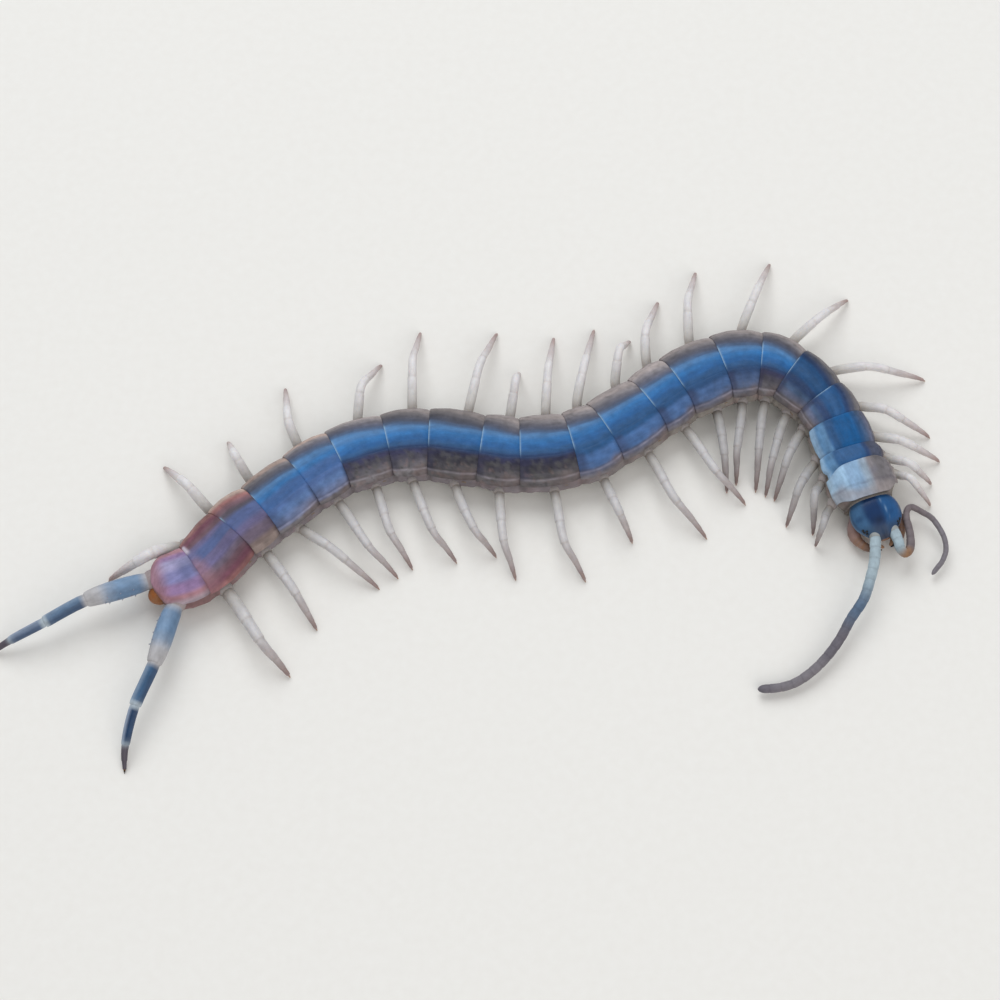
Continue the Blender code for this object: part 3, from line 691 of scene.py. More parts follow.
def joint_highlight_and_shadow(segment, across, along, colour):
    """Painted highlight on the line where a plate ends over the next one, and painted shadow along its front,
    under the rear edge of the plate ahead.
    """
    last_near = 0.25 if segment < 17 else -0.25
    in_stripe = smoothstep(-0.50, -0.36, across) * (1 - smoothstep(last_near - 0.15, last_near + 0.15, across))
    # Painted highlight on the rear edge, within the stripe
    rim = 1 - smoothstep(0.014, 0.030, along + REAR_LIP)
    if 3 < segment < 20:
        colour = mix(colour, EDGE_HIGHLIGHT_BLUE, 0.75 * rim * in_stripe)
    # Painted shadow along the front of the near half, under the rear edge of the plate ahead
    dark = 0.60 if 16 <= segment <= 19 else 0.25
    seam = smoothstep(0.84, 0.955, along) * smoothstep(0.36, 0.50, across)
    return mix(colour, SEAM_SHADOW, dark * seam * (2 < segment < 21))


def near_half_colours(segment, place, along, point, colour):
    """Shades of the near half: lighter or darker plate by plate, painted shade at its rear end, blotched, and
    pinker at its front margin.
    """
    near = smoothstep(0.34, 0.50, place)
    shade = 1 + (NEAR_SHADES.get(segment, 1.0) - 1) * near
    shade *= 1 + 0.22 * near * ripple(point, 0.8, 60.0 + segment)
    shade *= 1 + 0.12 * near * ripple(Vector((along * 2.0, place * 6.0, segment)), 1.0)
    colour = colour * shade
    if segment <= 3 or segment > 18:
        return colour
    blotched = near * (1.0 if 11 < segment < 17 else 0.12)
    olive = smoothstep(-0.15, 0.45, ripple(point, 0.62, 90.0 + segment))
    dark = smoothstep(0.15, 0.55, ripple(point, 0.34, 120.0 + segment))
    red = smoothstep(0.15, 0.55, ripple(point, 0.45, 150.0 + segment)) * smoothstep(0.55, 0.8, place)
    colour = mix(colour, OLIVE, 0.42 * blotched * olive)
    colour = mix(colour, TERRACOTTA, 0.42 * blotched * red)
    colour = colour * (1 - 0.34 * blotched * dark)
    # Painted shade at the rear end of the near half
    rear = near * (1 - smoothstep(0.04, 0.20, along)) * (1 - smoothstep(0.86, 0.96, place))
    colour = mix(colour, SHADE_VIOLET, (0.35 if segment > 16 else 0.55) * rear)
    edge = smoothstep(0.70, 0.90, place) * smoothstep(0.45, 0.72, along)
    return mix(colour, PINK_MARGIN, edge * (0.45 + 0.5 * ripple(point, 1.0, 40.0 + segment)))


def tail_colours(segment, across, along, colour):
    """The last two plates are pinker behind and darker in front, with a painted highlight at the far rear
    corner of the second-last.
    """
    if segment == SEGMENTS:
        colour = mix(colour, ROSE, 0.85 * (1 - smoothstep(0.04, 0.40, along)))
        spot = hill(across, -0.05, 0.42) * smoothstep(0.45, 0.75, along)
        colour = mix(colour, DUSTY_BLUE, 0.55 * spot)
        colour = mix(colour, PLUM_DARK, 0.5 * smoothstep(0.84, 0.96, along) * smoothstep(-0.3, 0.1, across))
        return mix(colour, BRICK, 0.7 * (1 - smoothstep(0.0, 0.16, along)) * smoothstep(0.55, 0.85, across))
    if segment == 20:
        colour = colour * (1.10 - 0.22 * smoothstep(0.2, 0.95, along))
        pink = smoothstep(-0.4, 0.0, across) * (1 - smoothstep(0.02, 0.24, along))
        colour = mix(colour, ROSE, 0.5 * pink)
        # Painted highlight at the far rear corner
        corner = smoothstep(-0.84, -0.74, across) * (1 - smoothstep(-0.56, -0.34, across))
        colour = mix(colour, HIGHLIGHT_LILAC, 0.9 * corner * (1 - smoothstep(0.02, 0.13, along)))
    return colour


def back_colour(segment, across, along, point):
    """Bands along the back, broken at each joint, with patches on the near half of some plates."""
    reach = abs(across)
    place = across + 0.035 * (1 - across ** 4) * ripple(point, 2.4, segment)
    far = 1 - smoothstep(-0.45, -0.15, place)
    place -= far * (FAR_SHIFTS.get(segment, 0.0) + 0.15 * (along - 0.45) * (segment > 3))
    bands = BACKS.get(segment, MID_BACK)
    colour = mix(band(bands, place), band(PATCH_BACK, place), PATCHES.get(segment, 0.0))
    colour = colour * PLATE_SHADES.get(segment, 1.0)
    far_shade = FAR_SHADES.get(segment, 1.0) + 0.22 * (along - 0.5) * (segment < 20)
    colour = colour * (1 + (far_shade - 1) * (1 - smoothstep(-0.52, -0.36, place)))
    far_rim = 1 - smoothstep(-0.60, -0.45, place)
    colour = colour * (1 - 0.20 * far_rim * smoothstep(0.0, 0.5, ripple(point, 0.5, 70.0 + segment)))
    # Painted highlight: the rear of each plate is lighter about the far half of the stripe
    colour = colour * (1 + 0.10 * (1 - smoothstep(0.04, 0.25, along)) * hill(across, -0.2, 0.3))
    colour = near_half_colours(segment, place, along, point, colour)
    colour = tail_colours(segment, across, along, colour)
    if segment == 1:
        blot = ripple(point, 1.2, 2.0)
        colour = mix(colour, LILAC_GREY, 0.5 * max(0.0, blot) * smoothstep(-0.7, -0.2, across))
        near_corner = smoothstep(0.35, 0.80, across)
        front = smoothstep(0.62 - 0.14 * near_corner, 0.92 - 0.14 * near_corner, along + 0.08 * blot)
        colour = mix(colour, PINK_TAN, 0.65 * front)
        return mix(colour, SOOT, 0.3 * hill(along, 0.66 + 0.05 * blot, 0.035))
    if 3 < segment < 19:
        # Painted highlight on the raised rim of each margin, stronger on the near side
        rim_line = hill(reach, 0.90, 0.024) * (0.5 + 0.5 * ripple(point, 0.9, 5.0))
        colour = mix(colour, HIGHLIGHT_LILAC, (0.40 if across > 0 else 0.15) * rim_line)
        # Painted shade in the groove inside the margin
        crease = hill(reach, 0.865, 0.016) * (0.6 + 0.6 * ripple(point, 1.1, 15.0))
        colour = mix(colour, GROOVE_SHADE, (0.35 if across > 0 else 0.12) * crease)
        outer = smoothstep(0.90, 0.95, reach)
        colour = mix(colour, PINK_MARGIN, 0.9 * outer * max(0.0, ripple(point, 0.9, 23.0)))
        colour = mix(colour, SHADOW_SKIN, 0.6 * outer * max(0.0, ripple(point, 0.6, 29.0)))
    return joint_highlight_and_shadow(segment, across, along, colour)


# Along a segment, and the share of the body's half width that its plate reaches there
PLATE_STATIONS = [
    (-0.06, 0.965), (-0.03, 0.985), (0.03, 1.0), (0.28, 1.035), (0.68, 1.02), (0.90, 0.965),
    (0.955, 0.925), (1.6, 0.925),
]


def plate_outline(segment, along):
    """Share of the body's half width that a plate reaches at a place along it."""
    width = 1.0
    for (low, first), (high, second) in zip(PLATE_STATIONS, PLATE_STATIONS[1:]):
        if low <= along <= high:
            width = first + (second - first) * (along - low) / (high - low)
    if segment == SEGMENTS:
        rear = min(max((along + 0.05) / 0.36, 0.0), 1.0)
        width *= max(0.16, math.sqrt(1 - (1 - rear) ** 2.2))
    return width


def plate_ends(segment, across):
    """Where a plate starts and ends along its segment, at a place across it."""
    rear = -REAR_LIP
    front = 1.0
    if segment == 1:
        rear += 0.28 * smoothstep(0.3, 1.05, across) ** 2 + 0.16 * smoothstep(0.5, 1.0, -across) ** 1.5
        front += 0.04 - (0.14 if across > 0 else 0.26) * smoothstep(0.50, 1.0, abs(across)) ** 1.5
    elif segment == 2:
        front += 0.46 * smoothstep(0.2, 0.8, across)
    return rear, front


def plate_lift(segment, along):
    """Height of a plate over the smooth back: the rear lip rides up, the front dips."""
    lift = 0.03 * (1 - smoothstep(-REAR_LIP, 0.12, along))
    lift += 0.02 * math.sin(math.pi * min(along, 1.0))
    if segment > 1:
        lift -= 0.04 * smoothstep(0.80, 0.95, along) + 0.10 * smoothstep(0.93, 0.99, along)
    if segment == SEGMENTS:
        lift -= 0.75 * (1 - smoothstep(-0.05, 0.30, along)) ** 1.6
    return lift


def back_plate(segment):
    joint = SEGMENTS - segment
    steps = 26
    marks = [0.0, 0.010, 0.024] + [0.05 + 0.95 * i / steps for i in range(steps + 1)]
    top = []
    bottom = []
    top_paint = []
    for mark in marks:
        row = []
        low = []
        paints = []
        for across in COLUMNS:
            rear, front = plate_ends(segment, across)
            along = rear + (front - rear) * mark
            centre, ahead, right = body_frame(joint + along)
            half = half_width(joint + along) * PLATE_SHARE * plate_outline(segment, along)
            rise = back_height(joint + along) - PLATE_MARGIN_HEIGHT + plate_lift(segment, along)
            reach = abs(across)
            height = PLATE_MARGIN_HEIGHT + rise * arch(across) - 0.05 * (1 - smoothstep(0.0, 0.02, mark))
            height -= 0.012 * hill(reach, SUTURE_PLACE, 0.010) * smoothstep(0.0, 0.08, along)
            height -= 0.04 * hill(reach, GROOVE_PLACE, 0.020) * (2 < segment < 20)
            flare = 1 + 0.012 * smoothstep(0.95, 0.985, reach)
            point = centre + right * (across * half * flare) + Vector((0, 0, height))
            point.z += 0.030 * ripple(point, 1.3, segment) + 0.010 * ripple(point, 0.45, segment)
            row.append(point)
            inner = centre + right * (across * (half * flare - PLATE_THICKNESS * reach ** 6))
            inner.z = point.z - PLATE_THICKNESS * (1 - 0.45 * reach ** 6)
            low.append(inner)
            paints.append(back_colour(segment, across, along, point))
        top.append(row)
        bottom.append(low)
        top_paint.append(paints)
    build = Build()
    # Painted shade on the underside of each plate
    shade = [[mix(paint, SEAM_SHADOW, 0.5) for paint in row] for row in top_paint]
    build.shell(top, bottom, top_paint, shade, 7.0 * segment)
    return build.finish("back_plate_%02d" % segment, BACK_SHELL)


COLUMNS = plate_columns(52)


# Soft skin of the flanks and belly, in one piece from tail to neck

def skin_outline(place):
    """Cross-section corners as shares of the half width and heights."""
    top = back_height(place)
    margin = PLATE_MARGIN_HEIGHT
    belly = BELLY_HEIGHT
    side = [
        (0.38, top - 0.55), (0.72, top - 0.95), (0.86, margin - 0.04), (0.91, margin - 0.3),
        (0.955, margin - 0.7), (FLANK_SHARE, margin - 1.15), (0.96, belly + 0.72),
        (0.76, belly + 0.16), (0.40, belly + 0.02),
    ]
    left = [(-x, z) for x, z in reversed(side)]
    return [(0.0, top - 0.4)] + side + [(0.0, belly + 0.02)] + left


def tail_scale(place):
    """Narrowing of the body where it ends under the last plate."""
    if place > 0.3:
        return 1.0
    return 0.32 + 0.68 * math.sin(0.5 * math.pi * min(max((place + 0.05) / 0.35, 0.0), 1.0))


def skin_colour(place, share, point):
    height = point.z
    flank = mix(FLANK_TAN, FLANK, smoothstep(8.0, 12.0, SEGMENTS - place))
    colour = mix(BELLY, flank, smoothstep(0.9, 1.7, height))
    colour = mix(colour, FLANK_PINK, 0.8 * max(0.0, ripple(point, 1.4, 8.0)))
    colour = mix(colour, FLANK_PINK, 0.7 * (1 - smoothstep(0.0, 3.5, place)))
    colour = mix(colour, BRICK, 0.6 * (1 - smoothstep(0.8, 2.0, place)))
    fold = hill(place - round(place), 0.0, 0.05)
    colour = mix(colour, SHADOW_SKIN, 0.45 * fold)
    return mix(colour, SHADOW_SKIN, 0.35 * max(0.0, ripple(point, 0.9, 5.0)))


def body_skin():
    steps = 16
    sides = 56
    rings = []
    paints = []
    first = -0.05
    last = SEGMENTS + 0.06
    total = int((last - first) * steps)
    for i in range(total + 1):
        place = first + (last - first) * i / total
        centre, ahead, right = body_frame(place)
        half = half_width(min(place, SEGMENTS)) * tail_scale(place)
        if place > SEGMENTS - 0.5:
            half *= 1 - 0.25 * smoothstep(SEGMENTS - 0.5, SEGMENTS, place)
        pinch = 0.045 * hill(place - round(place), 0.0, 0.07) + 0.02 * hill(place % 1, 0.22, 0.05)
        ring = []
        row = []
        for share, height in loop_points(skin_outline(place), sides):
            flank = smoothstep(0.6, 0.9, abs(share))
            squeeze = 1 - pinch * flank
            middle = 2.3
            tail = tail_scale(place)
            lift = middle + (height - middle) * (0.45 + 0.55 * tail)
            point = centre + right * (share * half * squeeze) + Vector((0, 0, lift))
            side = 1 if share > 0 else -1
            crease = 0.07 * ripple(point, 0.75, 2.0) + 0.04 * ripple(point, 0.28, 4.0)
            crease += 0.10 * hill(place % 1, 0.5, 0.22) * hill(height, 2.3, 0.5)
            point += right * (side * crease * flank)
            ring.append(point)
            row.append(skin_colour(place, share, point))
        rings.append(ring)
        paints.append(row)
    build = Build()
    build.tube(rings, paints)
    skin = build.finish("body_skin", SKIN)
    lengths = ["trunk_%02d_%02d" % (n, n + 2) for n in range(1, SEGMENTS, 3)]
    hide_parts(*lengths)
    return skin


def belly_plates():
    """Flat plates under the body, one a segment."""
    build = Build()
    columns = 22
    rows = 14
    for segment in range(1, SEGMENTS + 1):
        joint = SEGMENTS - segment
        top = []
        bottom = []
        colours = []
        for i in range(rows + 1):
            along = 0.05 + 0.88 * i / rows
            if segment == SEGMENTS:
                along = 0.2 + 0.73 * i / rows
            place = joint + along
            centre, ahead, right = body_frame(place)
            corner = 0.10 * (hill(i, 0, 1.5) + hill(i, rows, 1.5))
            narrow = 1 - 0.35 * (1 - i / rows) if segment == SEGMENTS else 1.0
            half = half_width(place) * (0.60 - corner * 0.5) * narrow
            outer = []
            inner = []
            paints = []
            for k in range(columns + 1):
                across = -1 + 2 * k / columns
                height = BELLY_HEIGHT - 0.10 + 0.14 * abs(across) ** 3
                height += 0.03 * hill(abs(across), 0.45, 0.03)
                point = centre + right * (across * half) + Vector((0, 0, height))
                point.z += 0.012 * ripple(point, 0.7, segment)
                outer.append(point)
                inner.append(point + Vector((0, 0, 0.14)))
                paint = mix(BELLY, SKY_BLUE, 0.35 - 0.3 * abs(across))
                paints.append(mix(paint, TAN, 0.5 * smoothstep(0.8, 1.0, abs(across))))
            top.append(inner)
            bottom.append(outer)
            colours.append(paints)
        build.shell(top, bottom, colours, colours)
    return build.finish("belly_plates", BELLY_SHELL)


def spiracles():
    """Breathing holes: a raised oval rim round a dark slit, on the flanks of some segments."""
    build = Build()
    sides = 12
    around = 20
    for segment in SPIRACLE_SEGMENTS:
        place = SEGMENTS - segment + 0.72
        centre, ahead, right = body_frame(place)
        half = half_width(place)
        for side in (-1, 1):
            middle = centre + right * (side * half * 0.955) + Vector((0, 0, 2.45))
            rings = []
            paints = []
            for i in range(sides + 1):
                lap = i / sides
                size = 0.34 - 0.28 * lap
                out = 0.10 * math.sin(math.pi * min(1.0, lap * 1.6)) - 0.06 * smoothstep(0.6, 1.0, lap)
                ring = []
                for k in range(around):
                    turn = 2 * math.pi * k / around
                    offset = ahead * (size * math.cos(turn)) + Vector((0, 0, 0.62 * size * math.sin(turn)))
                    ring.append(middle + offset + right * (side * out))
                if side > 0:
                    ring.reverse()
                rings.append(ring)
                paints.append([mix(TAN, HORN, smoothstep(0.35, 0.75, lap))] * around)
            build.tube(rings, paints)
    return build.finish("spiracles", FANG_SHELL)


def last_belly_plate():
    """Rusty lobe under the tail, which shows between the last legs."""
    centre, ahead, right = body_frame(0.0)
    middle = centre + right * 0.7 + Vector((0, 0, 1.95))
    steps = [(1.6, 0.7), (1.2, 1.0), (0.8, 1.13), (0.3, 1.2), (-0.1, 1.17), (-0.5, 0.98), (-0.8, 0.72),
             (-1.0, 0.42), (-1.08, 0.15)]
    points = [middle + ahead * along for along, _ in steps]
    rings = round_rings(points, [r for _, r in steps], 24, -ahead, -ahead)
    build = Build()
    paints = [[mix(RUST, TAN, 0.3 + 0.4 * ripple(p, 0.6)) for p in ring] for ring in rings]
    build.tube(rings, paints)
    return build.finish("last_belly_plate", BELLY_SHELL)


# Legs

def coxa_radius(segment):
    """The first legs are slimmer than the rest and the last two stouter."""
    return COXA_RADIUS * COXA_SHARES.get(segment, 1.0)


def leg_root(segment, side, knee):
    """Inner end, direction and outer end of the coxa that a leg grows from."""
    places = RIGHT_COXAE if side > 0 else LEFT_COXAE
    place = SEGMENTS - segment + places[segment - 1]
    centre, ahead, right = body_frame(place)
    outward = right * side
    half = half_width(place)
    foot_of_leg = centre + outward * half * COXA_REACH
    towards = Vector((knee[0], knee[1], 0.0)) - foot_of_leg
    turn = math.atan2(towards.dot(ahead), towards.dot(outward))
    turn = max(COXA_TURN_LIMITS[0], min(COXA_TURN_LIMITS[1], turn * COXA_TURN))
    direction = outward * math.cos(turn) + ahead * math.sin(turn)
    end = foot_of_leg + Vector((0, 0, COXA_HEIGHT))
    return end - direction * half * 0.5, direction, end


# Painted shade: near legs are darker than far ones, most of all those inside the bend
NEAR_LEG_SHADE = 0.80
INNER_LEG_SHADE = 0.60
# Name, start and end along the leg, and radius at its start, middle and end
WALKING_PARTS = [
    ("prefemur", 0.0, 0.345, 0.76, 0.79, 0.72),
    ("femur", 0.345, 0.57, 0.70, 0.68, 0.63),
    ("tibia", 0.57, 0.78, 0.60, 0.54, 0.46),
    ("first_tarsus", 0.78, 0.895, 0.45, 0.40, 0.33),
    ("second_tarsus", 0.895, 0.965, 0.32, 0.29, 0.22),
]
LAST_PARTS = [
    ("prefemur", 0.0, 0.355, 1.02, 1.40, 0.84),
    ("femur", 0.355, 0.615, 0.74, 0.71, 0.68),
    ("tibia", 0.615, 0.84, 0.57, 0.57, 0.47),
    ("first_tarsus", 0.84, 0.93, 0.44, 0.37, 0.31),
    ("second_tarsus", 0.93, 0.975, 0.29, 0.25, 0.20),
]
# Along one leg part: place, and how full it is there; it is drawn in a little at both joints
SWELL = [
    (0.0, 0.95), (0.03, 0.965), (0.07, 0.985), (0.14, 1.0), (0.28, 1.0), (0.45, 1.0), (0.62, 1.0),
    (0.78, 1.0), (0.88, 1.01), (0.94, 1.02), (0.975, 0.99), (0.992, 0.94),
]


def jointed_profile(parts):
    """Fraction along the leg, radius, part name and place in the part, for each ring."""
    profile = []
    for name, start, end, first, middle, last in parts:
        for inside, fullness in SWELL:
            bend = 4 * inside * (1 - inside)
            radius = (first + (last - first) * inside) * (1 - bend * 0.5) + middle * bend * 0.5
            profile.append((start + (end - start) * inside, radius * fullness, name, inside))
    return profile


def walking_colour(name, inside, along, shade, point):
    """Whitish legs, greyer at the root and faintly so at the joints, browner towards the claw, darkened on the
    near side by painted shade.
    """
    colour = mix(LEG_BASE, CREAM, smoothstep(0.0, 0.14, along))
    colour = mix(colour, LEG_WHITE, smoothstep(0.12, 0.30, along))
    colour = mix(colour, LEG_GREY, smoothstep(0.50, 0.72, along))
    joint = max(hill(inside, 0.0, 0.06), hill(inside, 1.0, 0.04))
    colour = mix(colour, LEG_JOINT, 0.22 * joint)
    colour = mix(colour, LEG_TIP, 0.95 * smoothstep(0.74, 0.95, along))
    return mix(colour, LEG_JOINT, 0.18 * max(0.0, ripple(point, 0.6, 7.0))) * shade


def walking_leg(word, segment, side, knee, foot):
    start, direction, end = leg_root(segment, side, knee)
    reach = math.dist(end.xy, knee) + math.dist(knee, foot)
    rise = KNEE_HEIGHT + max(0.0, min(KNEE_EXTRA, KNEE_SLOPE * (LEG_REACH - reach)))
    top = Vector((*knee, rise))
    sole = Vector((*foot, 0.04))
    course = [
        end,
        end + direction * (THIGH_SHARE * (top - end).length) + Vector((0, 0, THIGH_RISE)),
        top,
        top.lerp(sole, SHIN_SHARES[0]) + Vector((0, 0, SHIN_RISE)),
        top.lerp(sole, SHIN_SHARES[1]) + Vector((0, 0, SHIN_RISE)),
        sole,
    ]
    scale = coxa_radius(segment)
    profile = jointed_profile(WALKING_PARTS)
    claw = [(0.966, 0.155), (0.972, 0.13), (0.98, 0.10), (0.99, 0.065), (1.0, 0.02)]
    fractions = [entry[0] for entry in profile] + [fraction for fraction, _ in claw]
    radii = [entry[1] * scale for entry in profile] + [radius for _, radius in claw]
    points = spread(course, fractions)
    root = [end - direction * 1.5, end - direction * 0.9, end - direction * 0.35,
            end - direction * 0.08]
    sides = 16
    rings = round_rings(root + points, [scale * 1.10, scale * 1.06, scale * 0.96, scale * 0.82] + radii,
                        sides, direction)
    paints = [[mix(FLANK, LEG_BASE, 0.5)] * sides for _ in root]
    shade = 1.0
    if side > 0:
        shade = NEAR_LEG_SHADE if segment > 8 else INNER_LEG_SHADE
    for ring, entry in zip(rings[len(root):], profile):
        along, _, name, inside = entry
        paints.append([walking_colour(name, inside, along, shade, point) for point in ring])
    for fraction, _ in claw:
        paints.append([mix(LEG_TIP, AMBER, smoothstep(0.97, 1.0, fraction))] * sides)
    build = Build()
    build.tube(rings, paints)
    spur_foot = spread(course, [0.885])[0] - Vector((0, 0, 0.22))
    spur_way = (points[-1] - spread(course, [0.885])[0]).normalized() + Vector((0, 0, -0.25))
    add_cone(build, spur_foot, spur_way, 0.32, 0.05, AMBER, HORN)
    leg = build.finish("%s_leg_%02d" % (word, segment), LEG_SHELL)
    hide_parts("leg_%s_%02d" % (word, segment))
    return leg


def last_leg_colour(side, name, inside, aside, point):
    """Blue-grey thigh with a pale end, then dark blue parts with pale knuckles, with painted light on one side
    of each part, painted shade on the other, and the far leg painted lighter.
    """
    # Painted light on the lit side of each part, painted shade on the other side
    lit_side = smoothstep(-0.1, 0.6, -aside)
    shaded_side = smoothstep(0.1, 0.8, aside)
    if name == "prefemur":
        colour = mix(THIGH_PALE, THIGH_BLUE, smoothstep(-0.05, 0.16, inside))
        colour = mix(colour, THIGH_PALE, 0.95 * smoothstep(0.50, 0.84, inside))
        colour = mix(colour, SHANK_BLUE, 0.25 * shaded_side * (1 - smoothstep(0.5, 0.8, inside)))
    elif name == "femur":
        # Painted light: the far leg's femur is lighter
        middle = SHANK_BLUE if side > 0 else mix(SHANK_BLUE, SHANK_LIT_BLUE, 0.5)
        colour = mix(middle, SHANK_LIT_BLUE, lit_side)
        colour = mix(colour, SHANK_SHADED_BLUE, 0.8 * shaded_side)
        colour = mix(THIGH_PALE, colour, smoothstep(-0.02, 0.14, inside))
        colour = mix(colour, KNUCKLE, 0.95 * smoothstep(0.86, 0.97, inside))
    elif name == "tibia":
        # Painted light: the far leg's tibia is lighter
        middle = SHANK_NAVY if side > 0 else mix(SHANK_NAVY, LIT_LILAC, 0.65)
        colour = mix(middle, LIT_LILAC, lit_side)
        colour = mix(colour, SHANK_SHADED_BLUE, 0.8 * shaded_side)
        colour = mix(colour, KNUCKLE, 0.6 * smoothstep(0.84, 0.98, inside))
        colour = mix(KNUCKLE, colour, smoothstep(0.02, 0.15, inside))
    else:
        colour = MOSS_GREY
        if name == "first_tarsus":
            colour = mix(KNUCKLE, colour, smoothstep(-0.2, 0.25, inside))
    return mix(colour, SHADOW_SKIN, 0.15 * max(0.0, ripple(point, 0.7, 11.0)))


def last_leg(word, side, bends):
    inner = Vector(bends[0])
    direction = (Vector(bends[1]) - inner).normalized()
    screen_right = Vector((-direction.y, direction.x, 0.0)).normalized()
    end = inner + direction * LAST_COXA_LENGTH
    course = [end] + [Vector(bend) for bend in bends[1:]]
    course[-1].z = 0.05
    profile = jointed_profile(LAST_PARTS)
    claw = [(0.971, 0.17), (0.976, 0.14), (0.984, 0.10), (0.992, 0.06), (1.0, 0.02)]
    fractions = [entry[0] for entry in profile] + [fraction for fraction, _ in claw]
    radii = [entry[1] for entry in profile] + [radius for _, radius in claw]
    points = spread(course, fractions)
    coxa = [(0.0, 1.0), (0.9, 1.24), (1.7, 1.22), (2.3, 1.14), (2.58, 1.0)]
    root = [inner + direction * along for along, _ in coxa]
    sides = 24
    rings = round_rings(root + points, [r for _, r in coxa] + radii, sides, direction)
    paints = [[mix(FLANK_PINK, THIGH_PALE, 0.4)] * sides for _ in root]
    for ring, entry in zip(rings[len(root):], profile):
        along, radius, name, inside = entry
        middle = sum(ring, Vector()) / sides
        paints.append([last_leg_colour(side, name, inside, (p - middle).dot(screen_right) / radius, p)
                       for p in ring])
    for fraction, _ in claw:
        paints.append([mix(AMBER, HORN, smoothstep(0.97, 0.985, fraction))] * sides)
    build = Build()
    build.tube(rings, paints)
    across = direction.cross(Vector((0, 0, 1))).normalized()
    inward = -across if across.dot(body_frame(0.5)[2]) * side > 0 else across
    for row, (lean, rise) in enumerate([(0.9, -0.45), (1.0, 0.05), (0.75, 0.65), (0.35, -0.9)]):
        for number in range(3):
            fraction = 0.08 + 0.075 * number + 0.02 * (row % 2)
            middle = spread(course, [fraction])[0]
            way = (inward * lean + Vector((0, 0, rise))).normalized()
            foot = middle + way * 1.10
            add_cone(build, foot, way + direction * 0.5, 0.26, 0.08, THIGH_BLUE, LEG_TIP)
    corner = spread(course, [0.31])[0] + inward * 0.5 + Vector((0, 0, 0.66))
    add_cone(build, corner, direction + Vector((0, 0, 0.30)), 0.40, 0.11, THIGH_PALE, LEG_TIP)
    leg = build.finish("%s_last_leg" % word, LAST_LEG_SHELL)
    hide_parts("leg_%s_21" % word)
    return leg


# Head and what it carries

def head_place(along, aside, height):
    """Point of the head: along it from the neck, aside to the animal's right, and height."""
    ahead = Vector((math.cos(HEAD_TURN), math.sin(HEAD_TURN), 0.0))
    right = Vector((ahead.y, -ahead.x, 0.0))
    return Vector((*MIDLINE[-1], height)) + ahead * along + right * aside


def head_direction(forward, aside, rise=0.0):
    return (head_place(forward, aside, rise) - head_place(0.0, 0.0, 0.0)).normalized()


def head_section(place):
    along, half, top = spline([Vector(station[:3]) for station in HEAD_STATIONS], place)
    margin, bottom = spline([Vector(station[3:]) for station in HEAD_STATIONS], place)
    return along, half, top, margin, bottom


def head_colour(along, across, point):
    """Navy in the middle, brighter blue on both sides, greyer in front."""
    reach = abs(across)
    colour = band([(-1.0, HEAD_EDGE), (-0.84, HEAD_BLUE), (-0.32, HEAD_BLUE), (-0.06, NAVY), (0.32, NAVY),
                   (0.66, HEAD_SIDE), (0.86, HEAD_SIDE), (1.0, HEAD_EDGE)],
                  across + 0.08 * ripple(point, 1.0))
    colour = mix(colour, NAVY, 0.5 * smoothstep(0.1, 0.7, ripple(point, 1.3, 14.0)))
    colour = mix(colour, HEAD_FRONT, 0.7 * smoothstep(2.9, 4.1, along))
    colour = mix(colour, HEAD_SPOT, 0.7 * hill(along, 3.0, 0.45) * hill(across, 0.12, 0.25))
    colour = mix(colour, SHADOW_SKIN, 0.4 * smoothstep(4.3, 4.8, along))
    # Painted highlight along the far seam, and below it round the shield's rim
    seam = hill(across, -0.22 - 0.05 * along, 0.018) * smoothstep(0.4, 1.0, along)
    seam *= 1 - smoothstep(2.6, 3.4, along)
    colour = mix(colour, EDGE_HIGHLIGHT_BLUE, 0.45 * seam)
    return mix(colour, EDGE_HIGHLIGHT_BLUE, 0.30 * smoothstep(0.95, 1.0, reach))


def head_shield():
    """Upper plate of the head, with a furrow between the antennae and two faint seams."""
    rows = 44
    columns = [math.sin(0.5 * math.pi * (-1 + 2 * k / 48)) for k in range(49)]
    top = []
    bottom = []
    colours = []
    last = len(HEAD_STATIONS) - 1
    for i in range(rows + 1):
        along, half, crown, margin, low = head_section(last * i / rows)
        row = []
        under = []
        paints = []
        for across in columns:
            reach = abs(across)
            height = margin + (crown - margin) * max(0.0, 1 - reach ** 2.8) ** 0.72
            height -= 0.16 * hill(across, 0.0, 0.16) * smoothstep(3.4, 4.7, along)
            height -= 0.03 * hill(reach, 0.22 + 0.05 * along, 0.02) * (1 - smoothstep(2.4, 3.2, along))
            height -= 0.03 * hill(reach, 0.95, 0.02)
            point = head_place(along, across * half, height)
            point.z += 0.02 * ripple(point, 0.9, 21.0)
            row.append(point)
            inner = head_place(along, across * (half - 0.14 * reach ** 6), point.z)
            inner.z -= 0.15 * (1 - 0.4 * reach ** 6)
            under.append(inner)
            paints.append(head_colour(along, across, point))
        top.append(row)
        bottom.append(under)
        colours.append(paints)
    build = Build()
    build.shell(top, bottom, colours, colours)
    return build.finish("head_shield", HEAD_SHELL)


def antenna_root(side):
    direction = head_direction(1.0, 0.2 * side)
    return head_place(4.45, 1.15 * side, 2.95), direction


def forcipule_root(side):
    direction = head_direction(0.8, 0.6 * side)
    return head_place(1.35, 2.2 * side, 1.55), direction


